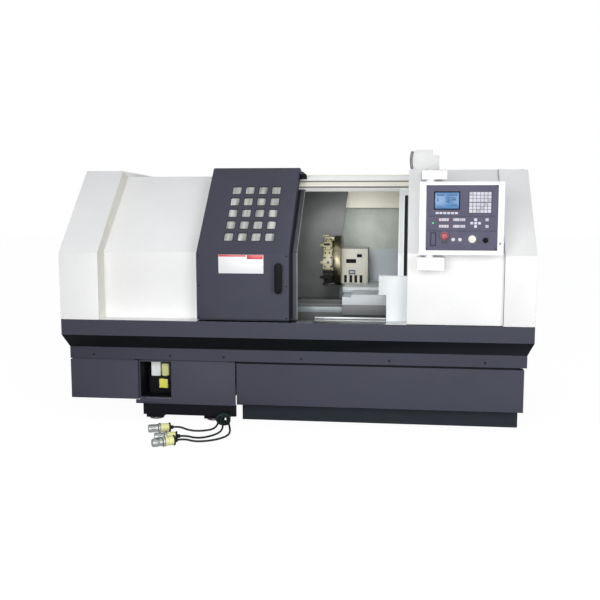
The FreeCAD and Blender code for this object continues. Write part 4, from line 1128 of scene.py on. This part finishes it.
class LATHE_OT_drive_trim(bpy.types.Operator):
    """Thread of the long screw, motor fins, and screws of the headstock, chuck and tailstock"""
    bl_idname = "lathe.drive_trim"
    bl_label = "Drive trim"

    def execute(self, context):
        parts = [self.thread(-300, 1200, 16, 10),
                 block("bearing", (-320, 525, 520), (-280, 605, 655), 4, 3)]
        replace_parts(keep(joined("long_screw", parts), "machine", "steel"), "z_ballscrew")
        fins = [(18 * index + across, radius) for index in range(14)
                for across, radius in ((0, 109.5), (0.5, 116), (6.5, 116), (7, 109.5))]
        cowl = [(-1, 106), (9, 106), (12, 102), (12, 96), (9, 94), (9, 70), (12, 68), (12, 62),
                (9, 60), (9, 34), (12, 32), (12, 0.01)]
        for name, profile, x, finish in (("motor_fins", fins, -930, "motor"),
                                         ("motor_cowl", cowl, -650, "pull")):
            spun(name, profile, (x, *MOTOR_AXIS), RIGHT, 48, "machine", finish)
        boxes("motor_box", "machine", "motor", (-860, 950, 922, -760, 1050, 985),
              radius=6, steps=4)
        boxes("headstock_lid", "machine", "head", (-870, 350, 1119, -400, 570, 1125),
              radius=2)
        spots = [(x, y, 1125) for x in (-850, -710, -560, -420) for y in (364, 556)]
        screws("lid_screws", spots, UPWARD, 8, "machine", "dark_steel")
        spots = [around((-306, *SPINDLE_AXIS), 79, 22.5 + 45 * index) for index in range(8)]
        screws("bearing_screws", spots, RIGHT, 6, "machine", "dark_steel")
        self.chuck()
        ring = [(0, 38.3), (0, 54), (9, 54), (11, 52), (11, 40), (10, 38.3)]
        spun("quill_seal", ring, (850, *SPINDLE_AXIS), LEFT, 40, "tailstock", "rubber", "loop")
        spots = [around((850, *SPINDLE_AXIS), 68, 30 + 60 * index) for index in range(6)]
        screws("tailstock_screws", spots, LEFT, 5.5, "tailstock", "dark_steel")
        for name, near, far, plate in (("left_wiper", 284, 278, 276.5),
                                       ("right_wiper", 640, 646, 647.5)):
            boxes(name, "saddle", "rubber", (near, 336, 718, far, 470, 744))
            boxes(f"{name}_plate", "saddle", "way", (far, 339, 724, plate, 467, 741),
                  radius=0.5)
        return {"FINISHED"}

    def chuck(self):
        """Screws of the chuck and its jaws, and the three key sockets in the chuck's side."""
        spots = [around((-130, *SPINDLE_AXIS), radius, 30 + 120 * step + turn)
                 for step in range(3) for radius, turn in ((88, -22), (88, 22), (58, 0))]
        screws("chuck_screws", spots, RIGHT, 7, "spindle", "dark_steel")
        profile = [(-2, 12), (0.2, 12), (0.4, 11), (0.4, 8), (-1.6, 8), (-1.6, 0.01)]
        sockets = []
        for degrees in (30, 150, 270):
            out = (0, math.cos(math.radians(degrees)), math.sin(math.radians(degrees)))
            where = around((-182, *SPINDLE_AXIS), 110, degrees)
            sockets.append(turned("socket", profile, where, out, 24))
        keep(joined("chuck_sockets", sockets), "spindle", "dark_steel")
        for step in range(3):
            jaw = f"jaw_{step + 1}"
            spots = [around((-108, *SPINDLE_AXIS), radius, 90 + 120 * step)
                     for radius in (72, 92)]
            screws(f"{jaw}_screws", spots, RIGHT, 5.5, jaw)

    def thread(self, start, end, radius, pitch):
        """Ground ball thread along the long screw.

        The radius at X and angle is radius - 1.7 * sqrt(wave), where wave is the part above
        zero of a cosine of the turns made by X / pitch less the angle's share of a turn.
        """
        back, height = SCREW_AXIS
        along = np.linspace(start, end, int((end - start) / pitch * 8) + 1)
        angle = np.linspace(0, 2 * np.pi, 24, endpoint=False)
        wave = np.cos(2 * np.pi * along[:, None] / pitch - angle[None])
        reach = radius - 1.7 * np.sqrt(np.clip(wave, 0, 1))
        return swept("thread", np.stack([along[:, None] + 0 * reach,
                                         back + reach * np.cos(angle),
                                         height + reach * np.sin(angle)], axis=-1))


class LATHE_OT_bay_trim(bpy.types.Operator):
    """Dark lining that paints the bay's shade, motor and tank of the lubrication unit, and the
    tied coil of spare lead
    """
    bl_idname = "lathe.bay_trim"
    bl_label = "Lubrication unit and coil"

    def execute(self, context):
        loops = []
        turn = np.linspace(0, 2 * np.pi, 48, False)
        for index in range(15):
            lean = 0.35 * math.sin(2.4 * index)
            share = 1 - 0.12 * (index % 5)
            wide = (39 + 4 * math.sin(1.9 * index)) * share
            tall = (32 + 3 * math.cos(2.7 * index)) * share
            path = np.stack(
                [-410 + 5 * math.sin(5 * index) + wide * np.cos(turn) * math.cos(lean),
                 -8 + 2.6 * index + wide * np.cos(turn) * math.sin(lean),
                 43 + tall * np.sin(turn) + 2 * np.sin(3 * turn + index)], axis=1)
            loops.append(round_tube("loop", path, 5, BACKWARD, "loop"))
        keep(joined("lead_coil", loops), "machine", "coil")
        for name, finish, corners, radius, steps in (
                ("coil_tie", "rubber", (-412, -16, 60, -403, 34, 90), 4, 4),
                # near black lining that paints the shade inside the bay
                ("bay_liner_shade", "shadow_black", (-946, 62, 151, -944, 213, 373), 0.3, 2),
                ("lube_motor", "yellow", (-855, 149, 192, -798, 176, 251), 4, 4),
                ("lube_base", "shadow_black", (-925, 174, 152, -765, 215, 262), 4, 4),
                ("lube_tank", "tank", (-912, 170, 262, -850, 240, 372), 8, 5),
                ("lube_bottle", "pale_yellow", (-845, 171, 262, -797, 240, 346), 10, 5)):
            boxes(name, "machine", finish, corners, radius=radius, steps=steps)
        boxes("bay_rim", "machine", "edge", (-946, 58.7, 147.4, -752, 60.4, 150.4),
              (-751.6, 58.7, 151, -749.4, 60.4, 300), radius=0.4)
        spun("tank_cap", [(0, 16), (5, 16), (6, 15), (6, 0.01)], (-880, 205, 371), UPWARD, 28,
             "machine", "pull")
        return {"FINISHED"}


class VIEW3D_PT_lathe(bpy.types.Panel):
    """Sidebar panel that lists the pieces and their settings"""
    bl_label = "Lathe"
    bl_space_type = "VIEW_3D"
    bl_region_type = "UI"
    bl_category = "Lathe"

    def draw(self, context):
        for settings in (context.scene.lathe_sizes, context.scene.lathe_colours):
            for name in settings.bl_rna.properties.keys():
                if name not in ("rna_type", "name"):
                    self.layout.prop(settings, name)
        for step in STEPS:
            self.layout.operator(step.bl_idname)


STEPS = [LATHE_OT_finishes, LATHE_OT_stage, LATHE_OT_leads, LATHE_OT_shells,
         LATHE_OT_door_trim, LATHE_OT_doorway, LATHE_OT_cover_trim, LATHE_OT_control_face,
         LATHE_OT_turret_trim, LATHE_OT_drive_trim, LATHE_OT_bay_trim]
CLASSES = [LatheSizes, LatheColours, *STEPS, VIEW3D_PT_lathe]


def register():
    """Register the classes and hang the settings on the scene."""
    for item in CLASSES:
        bpy.utils.register_class(item)
    bpy.types.Scene.lathe_sizes = PointerProperty(type=LatheSizes)
    bpy.types.Scene.lathe_colours = PointerProperty(type=LatheColours)


def unregister():
    """Take the settings and the classes away again."""
    del bpy.types.Scene.lathe_colours
    del bpy.types.Scene.lathe_sizes
    for item in reversed(CLASSES):
        bpy.utils.unregister_class(item)


def main():
    register()
    bpy.context.scene.view_settings.view_transform = "Standard"
    for step in STEPS:
        group, name = step.bl_idname.split(".")
        getattr(getattr(bpy.ops, group), name)()


if __name__ == "__main__":
    main()
